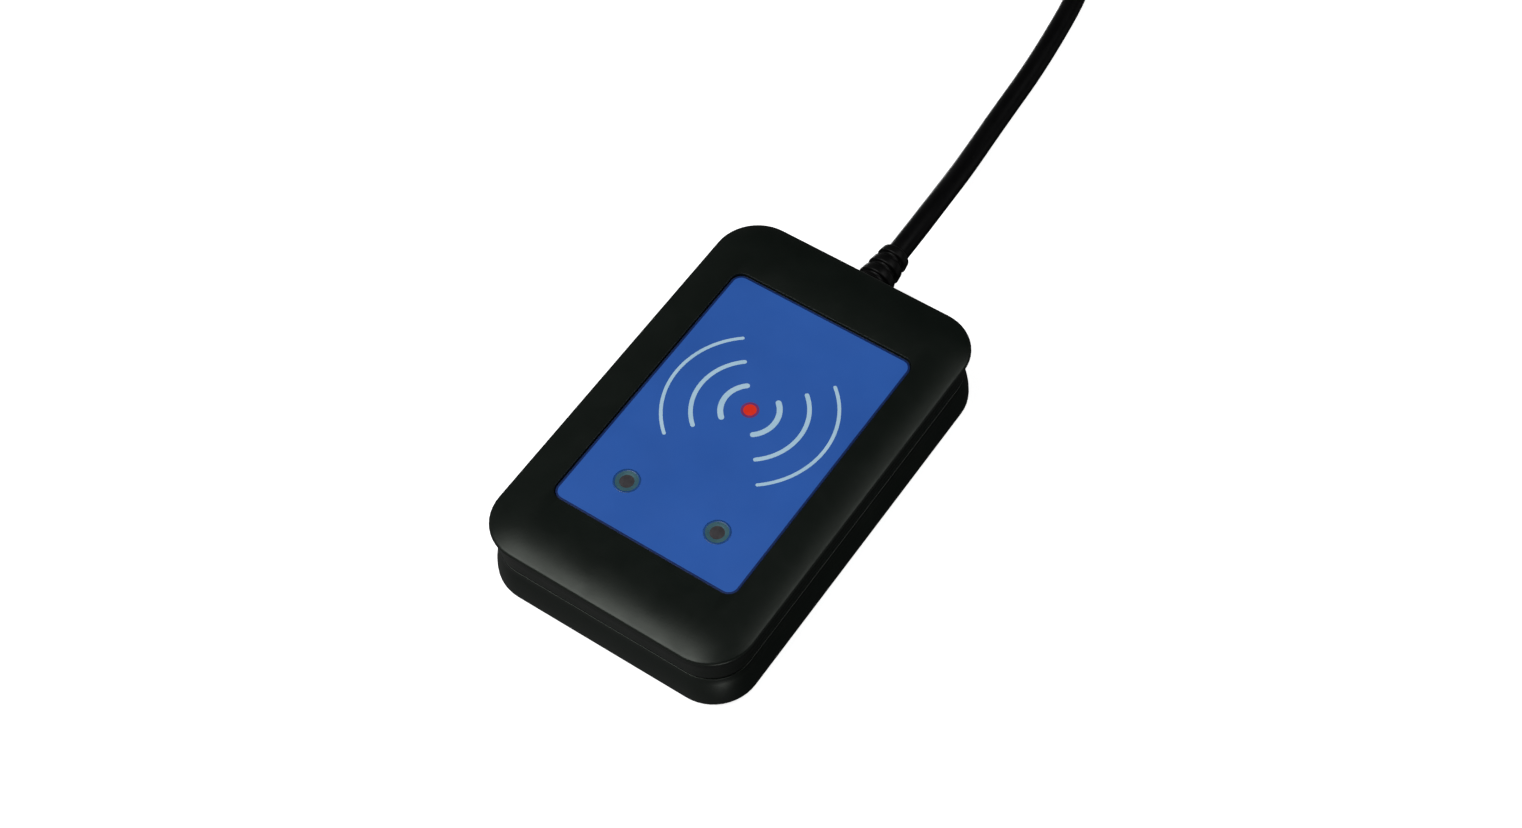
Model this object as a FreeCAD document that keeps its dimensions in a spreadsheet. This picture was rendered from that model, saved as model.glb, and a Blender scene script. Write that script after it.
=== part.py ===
import FreeCAD, Part
import math
import os
import re

import Sketcher
from FreeCAD import Placement, Rotation, Vector

# Desktop RFID card reader: a two-shell plastic housing with a recessed label,
# a reader board inside, and a USB lead that ends in a coil and a type-A plug.
# Millimetres.  X across the reader, Y towards its lead, Z up from the surface
# that it stands on.  The origin is at the middle of the housing's underside.

# ---------------------------------------------------------------- dimensions

DIM = {
    # housing
    "housing_width": 56.0,
    "housing_length": 88.0,
    "housing_height": 18.0,
    "corner_radius": 9.1,
    "underside": 0.4,
    "rim_height": 16.3,
    "crown_width": 8.0,
    "crown_drop": 1.1,
    "crown_bow": 0.24,
    "rim_rounding": 0.7,
    "rim_bow": 0.1,
    "side_hollow": 0.18,
    "joint_height": 9.6,
    "joint_gap": 0.5,
    "waist_inset": 1.0,
    "waist_top": 11.6,
    "bulge_height": 2.4,
    "bulge_bow": 0.2,
    "bottom_rounding": 2.0,
    "wall_inset": 2.8,
    "ceiling_height": 15.8,
    "floor_height": 2.2,
    "lip_inset": 1.95,
    "lip_height": 1.6,
    "lip_clearance": 0.15,
    "rib_start": 38.0,
    "rib_end": 39.4,
    "rib_width": 14.0,
    # label on top
    "label_width": 40.0,
    "label_length": 60.0,
    "label_radius": 2.2,
    "label_shift": 0.2,
    "label_film": 0.3,
    "label_clearance": 0.2,
    "recess_depth": 0.8,
    # status windows
    "window_spread": 10.0,
    "window_place": -20.0,
    "window_radius": 2.6,
    "window_head": 0.9,
    "window_stem_radius": 1.6,
    "window_end": 11.2,
    "collar_radius": 3.4,
    "collar_end": 13.2,
    # case screws, posts and bosses
    "screw_x": 20.5,
    "screw_y": 36.5,
    "boss_radius": 2.9,
    "boss_hole_radius": 1.05,
    "boss_hole_depth": 5.0,
    "screw_clearance_radius": 1.4,
    "counterbore_radius": 2.5,
    "counterbore_top": 5.2,
    # rubber feet
    "foot_x": 17.5,
    "foot_y": 24.0,
    # reader board
    "board_width": 46.0,
    "board_length": 65.0,
    "board_radius": 2.0,
    "board_thickness": 1.6,
    "board_base": 7.4,
    "standoff_x": 20.6,
    "standoff_y": 30.0,
    "standoff_radius": 2.2,
    "standoff_hole_radius": 0.8,
    "standoff_hole_depth": 3.5,
    "aerial_width": 44.0,
    "aerial_length": 60.0,
    "aerial_radius": 8.0,
    "aerial_band": 2.5,
    "aerial_thickness": 1.8,
    # lead
    "cord_radius": 2.25,
    "boot_neck_radius": 3.3,
    "boot_flange_radius": 4.6,
    "boot_flange_thickness": 1.4,
    "boot_base_radius": 4.2,
    "boot_tip_radius": 3.05,
    "boot_tip_place": 55.5,
    "boot_groove_start": 46.4,
    "boot_groove_spacing": 3.0,
    "boot_groove_width": 1.1,
    "boot_groove_depth": 0.75,
    "coil_x": 4.0,
    "coil_y": 198.0,
    "coil_inner_radius": 20.25,
    "coil_outer_radius": 33.75,
    "coil_base": 0.8,
    "coil_height": 18.0,
    "coil_rounding": 2.0,
    "tie_width": 6.0,
    "tie_thickness": 0.8,
    "tie_slack": 0.3,
    # plug
    "plug_width": 16.0,
    "plug_thickness": 8.0,
    "plug_length": 19.0,
    "plug_rounding": 1.8,
    "plug_boot_length": 8.0,
    "shell_width": 12.0,
    "shell_thickness": 4.5,
    "shell_length": 12.0,
    "shell_wall": 0.3,
    "shell_window_near": 4.8,
    "shell_window_far": 7.0,
    "shell_window_place": 3.2,
    "shell_window_width": 2.4,
}

# Blocks on the board and at the plug: width, length and height.
BLOCKS = {
    "rating_plate": (24.0, 36.0, 0.15),
    "microcontroller": (7.0, 7.0, 1.0),
    "reader_chip": (6.0, 6.0, 0.9),
    "voltage_regulator": (6.5, 3.5, 1.6),
    "quartz_crystal": (5.0, 3.2, 1.1),
    "status_lamp": (3.2, 2.8, 1.7),
    "tantalum": (3.5, 2.8, 1.9),
    "ceramic": (2.0, 1.25, 0.9),
    "resistor": (1.6, 0.8, 0.5),
    "socket_block": (11.0, 6.5, 5.2),
    "socket_hollow": (9.2, 5.0, 3.8),
    "wire_plug": (9.0, 9.3, 3.6),
    "usb_plug_tongue": (11.2, 11.4, 1.9),
    "outer_contact": (1.0, 8.4, 0.12),
    "inner_contact": (1.0, 7.4, 0.12),
    "case_screw_slot": (0.6, 3.15, 0.6),
    "board_screw_slot": (0.6, 2.24, 0.6),
}
for block, (width, length, height) in BLOCKS.items():
    DIM[block + "_width"] = width
    DIM[block + "_length"] = length
    DIM[block + "_height"] = height

# Round pieces: radius and height.
CANS = {
    "foot": (4.5, 0.9),
    "buzzer": (4.5, 4.0),
    "case_screw_shank": (1.05, 8.0),
    "case_screw_head": (2.25, 1.7),
    "board_screw_shank": (0.8, 4.0),
    "board_screw_head": (1.6, 1.2),
}
for can_name, (radius, height) in CANS.items():
    DIM[can_name + "_radius"] = radius
    DIM[can_name + "_height"] = height

# Sizes that follow from the ones above.
DIM["foot_recess"] = DIM["foot_height"] - DIM["underside"]
DIM["joint_top"] = DIM["joint_height"] + DIM["joint_gap"] / 2
DIM["joint_bottom"] = DIM["joint_height"] - DIM["joint_gap"] / 2
DIM["cavity_width"] = DIM["housing_width"] - 2 * DIM["wall_inset"]
DIM["cavity_length"] = DIM["housing_length"] - 2 * DIM["wall_inset"]
DIM["cavity_radius"] = DIM["corner_radius"] - DIM["wall_inset"]
DIM["lip_width"] = DIM["housing_width"] - 2 * DIM["lip_inset"]
DIM["lip_length"] = DIM["housing_length"] - 2 * DIM["lip_inset"]
DIM["lip_radius"] = DIM["corner_radius"] - DIM["lip_inset"]
DIM["rabbet_width"] = DIM["lip_width"] + 2 * DIM["lip_clearance"]
DIM["rabbet_length"] = DIM["lip_length"] + 2 * DIM["lip_clearance"]
DIM["rabbet_radius"] = DIM["lip_radius"] + DIM["lip_clearance"]
DIM["recess_width"] = DIM["label_width"] + 2 * DIM["label_clearance"]
DIM["recess_length"] = DIM["label_length"] + 2 * DIM["label_clearance"]
DIM["recess_radius"] = DIM["label_radius"] + DIM["label_clearance"]
DIM["recess_floor"] = DIM["housing_height"] - DIM["recess_depth"]
DIM["label_top"] = DIM["recess_floor"] + DIM["label_film"]
DIM["board_top"] = DIM["board_base"] + DIM["board_thickness"]
DIM["aerial_inner_width"] = DIM["aerial_width"] - 2 * DIM["aerial_band"]
DIM["aerial_inner_length"] = DIM["aerial_length"] - 2 * DIM["aerial_band"]
DIM["aerial_inner_radius"] = DIM["aerial_radius"] - DIM["aerial_band"]
DIM["coil_top"] = DIM["coil_base"] + DIM["coil_height"]
DIM["tie_inside"] = DIM["coil_outer_radius"] - DIM["coil_inner_radius"] + 2 * DIM["tie_slack"]
DIM["tie_outside"] = DIM["tie_inside"] + 2 * DIM["tie_thickness"]
DIM["tie_hollow_height"] = DIM["coil_height"] + DIM["tie_slack"]
DIM["tie_height"] = DIM["tie_hollow_height"] + 2 * DIM["tie_thickness"]

doc = FreeCAD.newDocument("rfid_card_reader")
sheet = doc.addObject("Spreadsheet::Sheet", "dims")
for row, (alias, size) in enumerate(DIM.items(), start=1):
    sheet.set(f"A{row}", alias)
    sheet.set(f"B{row}", f"{size:.4f}")
    sheet.setAlias(f"B{row}", alias)
doc.recompute()

NODES = []


# -------------------------------------------------------------- small helpers


def cells(formula):
    """A formula with each of its names made a cell of the sheet."""
    return re.sub(r"[a-z]\w*", lambda name: "dims." + name.group(), formula)


def bind(obj, prop, formula):
    """Tie one property to a formula of the sheet's cells."""
    obj.setExpression(prop, cells(formula))


def value(name):
    """A cell's number; its name may carry a minus sign, and no name is zero."""
    if not name:
        return 0.0
    return -DIM[name[1:]] if name[0] == "-" else DIM[name]


def new_body(label):
    body = doc.addObject("PartDesign::Body", label)
    body.Label = label
    body.Placement = Placement()
    NODES.append(body)
    return body


def new_sketch(body, name, role, height=None):
    """A sketch on one of the body's own origin planes, raised by a formula."""
    planes = body.Origin.OriginFeatures
    plane = next(p for p in planes if p.Role == role)
    sketch = body.newObject("Sketcher::SketchObject", name)
    sketch.AttachmentSupport = [(plane, "")]
    sketch.MapMode = "FlatFace"
    if height:
        bind(sketch, "AttachmentOffset.Base.z", height)
    return sketch


def pad(body, name, sketch, length, down=False):
    feature = body.newObject("PartDesign::Pad", name)
    feature.Profile = sketch
    bind(feature, "Length", length)
    feature.Reversed = down
    doc.recompute()
    return feature


def pocket(body, name, sketch, length, up=False):
    """A pocket that must remove material, whichever way it points."""
    before = body.Shape.Volume
    feature = body.newObject("PartDesign::Pocket", name)
    feature.Profile = sketch
    bind(feature, "Length", length)
    feature.Reversed = up
    doc.recompute()
    if body.Shape.Volume > before - 1e-4:
        raise RuntimeError(f"{name} removed nothing")
    return feature


def rounded_rectangle(sketch, width, length, radius, shift=None):
    """A rectangle with round corners about the axis, its sizes tied to cells."""
    half_w, half_l, corner = DIM[width] / 2, DIM[length] / 2, DIM[radius]
    middle = DIM[shift] if shift else 0.0
    x, y = half_w - corner, half_l - corner
    first = sketch.GeometryCount
    sides = [
        (Vector(half_w, middle - y, 0), Vector(half_w, middle + y, 0)),
        (Vector(x, middle + half_l, 0), Vector(-x, middle + half_l, 0)),
        (Vector(-half_w, middle + y, 0), Vector(-half_w, middle - y, 0)),
        (Vector(-x, middle - half_l, 0), Vector(x, middle - half_l, 0)),
    ]
    centres = [(x, y), (-x, y), (-x, -y), (x, -y)]
    for number, (start, end) in enumerate(sides):
        sketch.addGeometry(Part.LineSegment(start, end), False)
        across, along = centres[number]
        circle = Part.Circle(Vector(across, middle + along, 0), Vector(0, 0, 1), corner)
        turn = number * math.pi / 2
        sketch.addGeometry(Part.ArcOfCircle(circle, turn, turn + math.pi / 2), False)
    right, top, left, bottom = first, first + 2, first + 4, first + 6
    rules = []
    for number in range(4):
        side, arc = first + 2 * number, first + 2 * number + 1
        following = first + (2 * number + 2) % 8
        rules.append(Sketcher.Constraint("Tangent", side, 2, arc, 1))
        rules.append(Sketcher.Constraint("Tangent", arc, 2, following, 1))
    rules.append(Sketcher.Constraint("Vertical", right))
    rules.append(Sketcher.Constraint("Horizontal", top))
    rules.append(Sketcher.Constraint("Vertical", left))
    rules.append(Sketcher.Constraint("Horizontal", bottom))
    for number in (3, 5, 7):
        rules.append(Sketcher.Constraint("Equal", first + 1, first + number))
    sketch.addConstraint(rules)
    half_up = f"{length} / 2 + {shift}" if shift else f"{length} / 2"
    for formula, rule in (
        (radius, Sketcher.Constraint("Radius", first + 1, corner)),
        (width, Sketcher.Constraint("DistanceX", left, 1, right, 2, 2 * half_w)),
        (length, Sketcher.Constraint("DistanceY", bottom, 2, top, 1, 2 * half_l)),
        (f"{width} / 2", Sketcher.Constraint("DistanceX", -1, 1, right, 2, half_w)),
        (half_up, Sketcher.Constraint("DistanceY", -1, 1, top, 1, middle + half_l)),
    ):
        index = sketch.addConstraint(rule)
        bind(sketch, f"Constraints[{index}]", formula)


def circles(sketch, places, radius):
    """Circles of one radius; each place is a pair of cell names, as value() reads them."""
    for place in places:
        centre = Vector(value(place[0]), value(place[1]), 0)
        circle = Part.Circle(centre, Vector(0, 0, 1), DIM[radius])
        index = sketch.addGeometry(circle, False)
        rule = sketch.addConstraint(Sketcher.Constraint("Radius", index, DIM[radius]))
        bind(sketch, f"Constraints[{rule}]", radius)
        for kind, name in zip(("DistanceX", "DistanceY"), place):
            rule = Sketcher.Constraint(kind, -1, 1, index, 3, value(name))
            number = sketch.addConstraint(rule)
            if name:
                bind(sketch, f"Constraints[{number}]", name)


def four_corners(x, y):
    """The four places at plus and minus two cells, as pairs of names."""
    return [(side + x, end + y) for side in ("-", "") for end in ("-", "")]


def corner_points(x, y):
    """The same four places as numbers."""
    return [(value(across), value(along)) for across, along in four_corners(x, y)]


def outline(sketch, steps):
    """A closed outline: each step is an end point, or a middle and an end point of an arc."""
    last = steps[-1][-1]
    here = last
    for step in steps:
        end = step[-1]
        if len(step) == 1:
            shape = Part.LineSegment(Vector(*here, 0), Vector(*end, 0))
        else:
            shape = Part.Arc(Vector(*here, 0), Vector(*step[0], 0), Vector(*end, 0))
        sketch.addGeometry(shape, False)
        here = end


def revolved(label, steps, height, place=(0.0, 0.0)):
    """A turned piece about a line along Y at the given height, from its half section."""
    body = new_body(label)
    sketch = new_sketch(body, label + "_section", "XY_Plane")
    outline(sketch, steps)
    feature = body.newObject("PartDesign::Revolution", label + "_turned")
    feature.Profile = sketch
    feature.ReferenceAxis = (sketch, ["V_Axis"])
    feature.Angle = 360
    body.Placement = Placement(Vector(place[0], place[1], height), Rotation())
    doc.recompute()
    return body


def box(label, place, kind=None, keep=True):
    """A block of a listed kind, standing on the middle of its underside."""
    kind = kind or label
    block = doc.addObject("Part::Box", label)
    block.Label = label
    bind(block, "Length", kind + "_width")
    bind(block, "Width", kind + "_length")
    bind(block, "Height", kind + "_height")
    x, y, z = place
    corner = Vector(x - DIM[kind + "_width"] / 2, y - DIM[kind + "_length"] / 2, z)
    block.Placement = Placement(corner, Rotation())
    if keep:
        NODES.append(block)
    return block


def can(label, place, kind=None, keep=True):
    """An upright cylinder of a listed kind, standing on a point."""
    kind = kind or label
    shape = doc.addObject("Part::Cylinder", label)
    shape.Label = label
    bind(shape, "Radius", kind + "_radius")
    bind(shape, "Height", kind + "_height")
    shape.Placement = Placement(Vector(*place), Rotation())
    if keep:
        NODES.append(shape)
    return shape


def group(label, members):
    """Identical small pieces in one node, as separate solids."""
    bundle = doc.addObject("Part::Compound", label)
    bundle.Label = label
    bundle.Links = members
    NODES.append(bundle)
    return bundle


# -------------------------------------------------------------------- housing


def side_spine(body, name, height):
    """The housing's outline as a path that starts at the middle of its right side."""
    sketch = new_sketch(body, name, "XY_Plane", height)
    half_w, half_l = DIM["housing_width"] / 2, DIM["housing_length"] / 2
    corner = DIM["corner_radius"]
    x, y = half_w - corner, half_l - corner
    slant = corner * math.sqrt(0.5)
    steps = [
        ((half_w, y),),
        ((x + slant, y + slant), (x, half_l)),
        ((-x, half_l),),
        ((-x - slant, y + slant), (-half_w, y)),
        ((-half_w, -y),),
        ((-x - slant, -y - slant), (-x, -half_l)),
        ((x, -half_l),),
        ((x + slant, -y - slant), (half_w, -y)),
        ((half_w, 0.0),),
    ]
    outline(sketch, steps)
    return sketch


def trimmed_side(body, name, height, steps, gone):
    """Cut the block's side to a profile all round the outline; the point gone must be cut away."""
    spine = side_spine(body, name + "_path", height)
    profile = new_sketch(body, name + "_profile", "XZ_Plane")
    outline(profile, steps)
    cut = body.newObject("PartDesign::SubtractivePipe", name)
    cut.Profile = profile
    cut.Spine = spine
    doc.recompute()
    for corner in (Vector(gone[0], 0, gone[1]), Vector(-gone[0], 0, gone[1])):
        if body.Shape.isInside(corner, 1e-3, True):
            raise RuntimeError(f"{name} left the block's edge in place")


def arc_middle(start, end, bulge):
    """The middle of an arc between two points that bows out by bulge, to the left of its way."""
    across, up = end[0] - start[0], end[1] - start[1]
    length = math.hypot(across, up)
    x = (start[0] + end[0]) / 2 - up / length * bulge
    return (x, (start[1] + end[1]) / 2 + across / length * bulge)


def make_top_cover():
    body = new_body("top_cover")
    block = new_sketch(body, "top_outline", "XY_Plane", "joint_top")
    rounded_rectangle(block, "housing_width", "housing_length", "corner_radius")
    pad(body, "top_block", block, "housing_height - joint_top")

    half, top = DIM["housing_width"] / 2, DIM["housing_height"]
    outside = half + 3.0
    crown_start = (half - DIM["crown_width"], top)
    crown_end = (half - DIM["rim_rounding"], top - DIM["crown_drop"])
    rim = (half, DIM["rim_height"])
    waist = (half - DIM["waist_inset"], DIM["waist_top"])
    under = (half - DIM["waist_inset"], DIM["joint_top"] - 1.0)
    trimmed_side(
        body,
        "top_side",
        "rim_height",
        [
            (arc_middle(crown_start, crown_end, DIM["crown_bow"]), crown_end),
            (arc_middle(crown_end, rim, DIM["rim_bow"]), rim),
            (arc_middle(rim, waist, -DIM["side_hollow"]), waist),
            (under,),
            ((outside, under[1]),),
            ((outside, top + 1.0),),
            ((crown_start[0], top + 1.0),),
            (crown_start,),
        ],
        gone=(half - 0.3, top - 0.3),
    )

    cavity = new_sketch(body, "top_cavity_outline", "XY_Plane", "joint_top")
    rounded_rectangle(cavity, "cavity_width", "cavity_length", "cavity_radius")
    pocket(body, "top_cavity", cavity, "ceiling_height - joint_top", up=True)
    rabbet = new_sketch(body, "rabbet_outline", "XY_Plane", "joint_top")
    rounded_rectangle(rabbet, "rabbet_width", "rabbet_length", "rabbet_radius")
    pocket(body, "rabbet", rabbet, "lip_height + lip_clearance", up=True)

    screws = four_corners("screw_x", "screw_y")
    bosses = new_sketch(body, "boss_circles", "XY_Plane", "joint_top")
    circles(bosses, screws, "boss_radius")
    pad(body, "bosses", bosses, "ceiling_height - joint_top")
    holes = new_sketch(body, "boss_hole_circles", "XY_Plane", "joint_top")
    circles(holes, screws, "boss_hole_radius")
    pocket(body, "boss_holes", holes, "boss_hole_depth", up=True)

    windows = [("-window_spread", "window_place"), ("window_spread", "window_place")]
    collars = new_sketch(body, "collar_circles", "XY_Plane", "collar_end")
    circles(collars, windows, "collar_radius")
    pad(body, "collars", collars, "ceiling_height - collar_end")

    recess = new_sketch(body, "recess_outline", "XY_Plane", "housing_height")
    rounded_rectangle(recess, "recess_width", "recess_length", "recess_radius", "label_shift")
    pocket(body, "recess", recess, "recess_depth")
    seats = new_sketch(body, "window_seat_circles", "XY_Plane", "label_top")
    circles(seats, windows, "window_radius")
    pocket(body, "window_seats", seats, "window_head")
    stems = new_sketch(body, "window_stem_circles", "XY_Plane", "label_top")
    circles(stems, windows, "window_stem_radius")
    pocket(body, "window_stems", stems, "label_top - window_end")

    make_cable_notch(body, "top")


def make_cable_notch(body, name):
    """Half of the round hole in the back wall for the strain relief, and the seat of its base."""
    place = [("", "joint_height")]
    wall = "-housing_length / 2"
    notch = new_sketch(body, name + "_notch_circle", "XZ_Plane", wall)
    circles(notch, place, "boot_neck_radius")
    pocket(body, name + "_notch", notch, "wall_inset + waist_inset", up=True)
    seat = new_sketch(body, name + "_boot_seat_circle", "XZ_Plane", wall)
    circles(seat, place, "boot_base_radius")
    pocket(body, name + "_boot_seat", seat, "waist_inset", up=True)


def make_bottom_cover():
    body = new_body("bottom_cover")
    block = new_sketch(body, "bottom_outline", "XY_Plane", "underside")
    rounded_rectangle(block, "housing_width", "housing_length", "corner_radius")
    pad(body, "bottom_block", block, "joint_bottom - underside")

    half, low = DIM["housing_width"] / 2, DIM["underside"]
    outside = half + 3.0
    waist = (half - DIM["waist_inset"], DIM["joint_bottom"] + 1.0)
    neck = (half - DIM["waist_inset"], DIM["joint_bottom"] - 0.8)
    bulge = (half, DIM["bulge_height"])
    round_end = (half - DIM["bottom_rounding"], low)
    slant = DIM["bottom_rounding"] * math.sqrt(0.5)
    round_middle = (half - DIM["bottom_rounding"] + slant, DIM["bulge_height"] - slant)
    trimmed_side(
        body,
        "bottom_side",
        "bulge_height",
        [
            (neck,),
            (arc_middle(neck, bulge, DIM["bulge_bow"]), bulge),
            (round_middle, round_end),
            ((round_end[0], low - 1.0),),
            ((outside, low - 1.0),),
            ((outside, waist[1]),),
            (waist,),
        ],
        gone=(half - 0.3, low + 0.3),
    )

    cavity = new_sketch(body, "bottom_cavity_outline", "XY_Plane", "joint_bottom")
    rounded_rectangle(cavity, "cavity_width", "cavity_length", "cavity_radius")
    pocket(body, "bottom_cavity", cavity, "joint_bottom - floor_height")
    lip = new_sketch(body, "lip_outline", "XY_Plane", "joint_bottom")
    rounded_rectangle(lip, "lip_width", "lip_length", "lip_radius")
    rounded_rectangle(lip, "cavity_width", "cavity_length", "cavity_radius")
    pad(body, "lip", lip, "joint_gap + lip_height")

    screws = four_corners("screw_x", "screw_y")
    posts = new_sketch(body, "post_circles", "XY_Plane", "floor_height")
    circles(posts, screws, "boss_radius")
    pad(body, "posts", posts, "joint_top - floor_height")
    through = new_sketch(body, "screw_hole_circles", "XY_Plane", "joint_top")
    circles(through, screws, "screw_clearance_radius")
    pocket(body, "screw_holes", through, "joint_top")
    bores = new_sketch(body, "counterbore_circles", "XY_Plane", "counterbore_top")
    circles(bores, screws, "counterbore_radius")
    pocket(body, "counterbores", bores, "counterbore_top")

    stands = four_corners("standoff_x", "standoff_y")
    standoffs = new_sketch(body, "standoff_circles", "XY_Plane", "floor_height")
    circles(standoffs, stands, "standoff_radius")
    pad(body, "standoffs", standoffs, "board_base - floor_height")
    tapped = new_sketch(body, "standoff_hole_circles", "XY_Plane", "board_base")
    circles(tapped, stands, "standoff_hole_radius")
    pocket(body, "standoff_holes", tapped, "standoff_hole_depth")

    feet = new_sketch(body, "foot_recess_circles", "XY_Plane", "underside")
    circles(feet, four_corners("foot_x", "foot_y"), "foot_radius")
    pocket(body, "foot_recesses", feet, "foot_recess", up=True)

    rib = new_sketch(body, "cable_rib_outline", "XY_Plane", "floor_height")
    near, far, half = DIM["rib_start"], DIM["rib_end"], DIM["rib_width"] / 2
    outline(rib, [((half, near),), ((half, far),), ((-half, far),), ((-half, near),)])
    pad(body, "cable_rib", rib, "joint_height - floor_height")
    saddle = new_sketch(body, "saddle_circle", "XZ_Plane", "-rib_end - 0.5")
    circles(saddle, [("", "joint_height")], "cord_radius")
    pocket(body, "saddle", saddle, "2 * (rib_end - rib_start)", up=True)

    make_cable_notch(body, "bottom")


# ---------------------------------------------------- label, windows and feet


def make_front_label():
    body = new_body("front_label")
    sketch = new_sketch(body, "label_outline", "XY_Plane", "recess_floor")
    rounded_rectangle(sketch, "label_width", "label_length", "label_radius", "label_shift")
    windows = [("-window_spread", "window_place"), ("window_spread", "window_place")]
    circles(sketch, windows, "window_radius")
    pad(body, "label_sheet", sketch, "label_film")


def make_status_windows():
    """Clear light guides: a flat round head level with the label, and a stem down to the lamp."""
    for name, across in (("left", "-window_spread"), ("right", "window_spread")):
        body = new_body(f"status_window_{name}")
        place = [(across, "window_place")]
        head = new_sketch(body, f"window_head_{name}", "XY_Plane", "label_top")
        circles(head, place, "window_radius")
        pad(body, f"window_disc_{name}", head, "window_head", down=True)
        stem = new_sketch(body, f"window_stem_{name}", "XY_Plane", "window_end")
        circles(stem, place, "window_stem_radius")
        pad(body, f"window_rod_{name}", stem, "label_top - window_end")


def make_feet_and_plate():
    feet = []
    for number, (x, y) in enumerate(corner_points("foot_x", "foot_y"), start=1):
        feet.append(can(f"foot_{number}", (x, y, 0.0), "foot", keep=False))
    group("rubber_feet", feet)
    box("rating_plate", (0.0, 0.0, DIM["underside"] - DIM["rating_plate_height"]))


def make_screw(name, kind, place, down=False):
    """One pan-head screw, its shank above its head, or below it when it points down."""
    x, y, z = place
    length, head = DIM[kind + "_shank_height"], DIM[kind + "_head_height"]
    shank_base = z + head if not down else z - head - length
    head_base = z if not down else z - head
    slot_base = z - 0.1 if not down else z - 0.5
    shank = can(name + "_shank", (x, y, shank_base), kind + "_shank", keep=False)
    cap = can(name + "_head", (x, y, head_base), kind + "_head", keep=False)
    bars = []
    for number in (1, 2):
        bars.append(box(f"{name}_bar_{number}", (x, y, slot_base), kind + "_slot", keep=False))
    quarter = Rotation(Vector(0, 0, 1), 90)
    centre = Vector(x, y, 0)
    turned = Placement(centre, quarter).multiply(Placement(-centre, Rotation()))
    bars[1].Placement = turned.multiply(bars[1].Placement)
    screw = doc.addObject("Part::MultiFuse", name + "_solid")
    screw.Shapes = [shank, cap]
    cross = doc.addObject("Part::MultiFuse", name + "_cross")
    cross.Shapes = bars
    cut = doc.addObject("Part::Cut", name)
    cut.Base = screw
    cut.Tool = cross
    return cut


def make_screws():
    case = []
    base = DIM["counterbore_top"] - DIM["case_screw_head_height"]
    for number, (x, y) in enumerate(corner_points("screw_x", "screw_y"), start=1):
        case.append(make_screw(f"case_screw_{number}", "case_screw", (x, y, base)))
    group("case_screws", case)
    board = []
    top = DIM["board_top"] + DIM["board_screw_head_height"]
    for number, (x, y) in enumerate(corner_points("standoff_x", "standoff_y"), start=1):
        name = f"board_screw_{number}"
        board.append(make_screw(name, "board_screw", (x, y, top), down=True))
    group("board_screws", board)


# ----------------------------------------------------------------- electronics


def make_board():
    body = new_body("circuit_board")
    sketch = new_sketch(body, "board_outline", "XY_Plane", "board_base")
    rounded_rectangle(sketch, "board_width", "board_length", "board_radius")
    stands = four_corners("standoff_x", "standoff_y")
    circles(sketch, stands, "standoff_hole_radius")
    pad(body, "board_sheet", sketch, "board_thickness")

    aerial = new_body("aerial_coil")
    loop = new_sketch(aerial, "aerial_outline", "XY_Plane", "board_top")
    rounded_rectangle(loop, "aerial_width", "aerial_length", "aerial_radius")
    rounded_rectangle(loop, "aerial_inner_width", "aerial_inner_length", "aerial_inner_radius")
    pad(aerial, "aerial_winding", loop, "aerial_thickness")


def make_components():
    top = DIM["board_top"]
    box("microcontroller", (-6.5, -4.0, top))
    box("reader_chip", (6.5, -2.0, top))
    box("voltage_regulator", (-12.0, 14.0, top))
    box("quartz_crystal", (6.5, 7.0, top))
    can("buzzer", (12.0, 17.0, top))
    for name, side in (("left", -1), ("right", 1)):
        place = (side * DIM["window_spread"], DIM["window_place"], top)
        box(f"status_lamp_{name}", place, "status_lamp")
    tantalum = [(-14.5, 6.0), (-14.5, 1.0)]
    small = [(-6.5, 2.5), (-2.0, -8.5), (1.5, -8.5), (12.0, 2.0), (12.0, -2.0), (6.5, -7.0)]
    capacitors = []
    for kind, places in (("tantalum", tantalum), ("ceramic", small)):
        for number, (x, y) in enumerate(places, start=1):
            name = f"{kind}_{number}"
            capacitors.append(box(name, (x, y, top), kind, keep=False))
    group("capacitors", capacitors)
    resistors = []
    for number in range(8):
        place = (-14.0 + 4.0 * number, -12.5, top)
        resistors.append(box(f"resistor_{number + 1}", place, "resistor", keep=False))
    group("resistors", resistors)


WIRE_RADIUS = 0.5
SOCKET_BACK = 22.5
WIRE_PLUG_BACK = 27.0
SOCKET_WALL = 0.7
WIRE_PLUG_LIFT = 0.8
WIRE_RISE = 2.6


def make_wire_connector():
    """The board's socket and the lead's own small plug that pushes into it from behind."""
    top = DIM["board_top"]
    middle = SOCKET_BACK - DIM["socket_block_length"] / 2
    shell = box("socket_block", (0.0, middle, top), keep=False)
    middle = SOCKET_BACK - DIM["socket_hollow_length"] / 2
    hollow = box("socket_hollow", (0.0, middle, top + SOCKET_WALL), keep=False)
    socket = doc.addObject("Part::Cut", "board_socket")
    socket.Label = "board_socket"
    socket.Base = shell
    socket.Tool = hollow
    NODES.append(socket)
    middle = WIRE_PLUG_BACK - DIM["wire_plug_length"] / 2
    box("wire_plug", (0.0, middle, top + WIRE_PLUG_LIFT))


# ------------------------------------------------------------------------ lead


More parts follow.
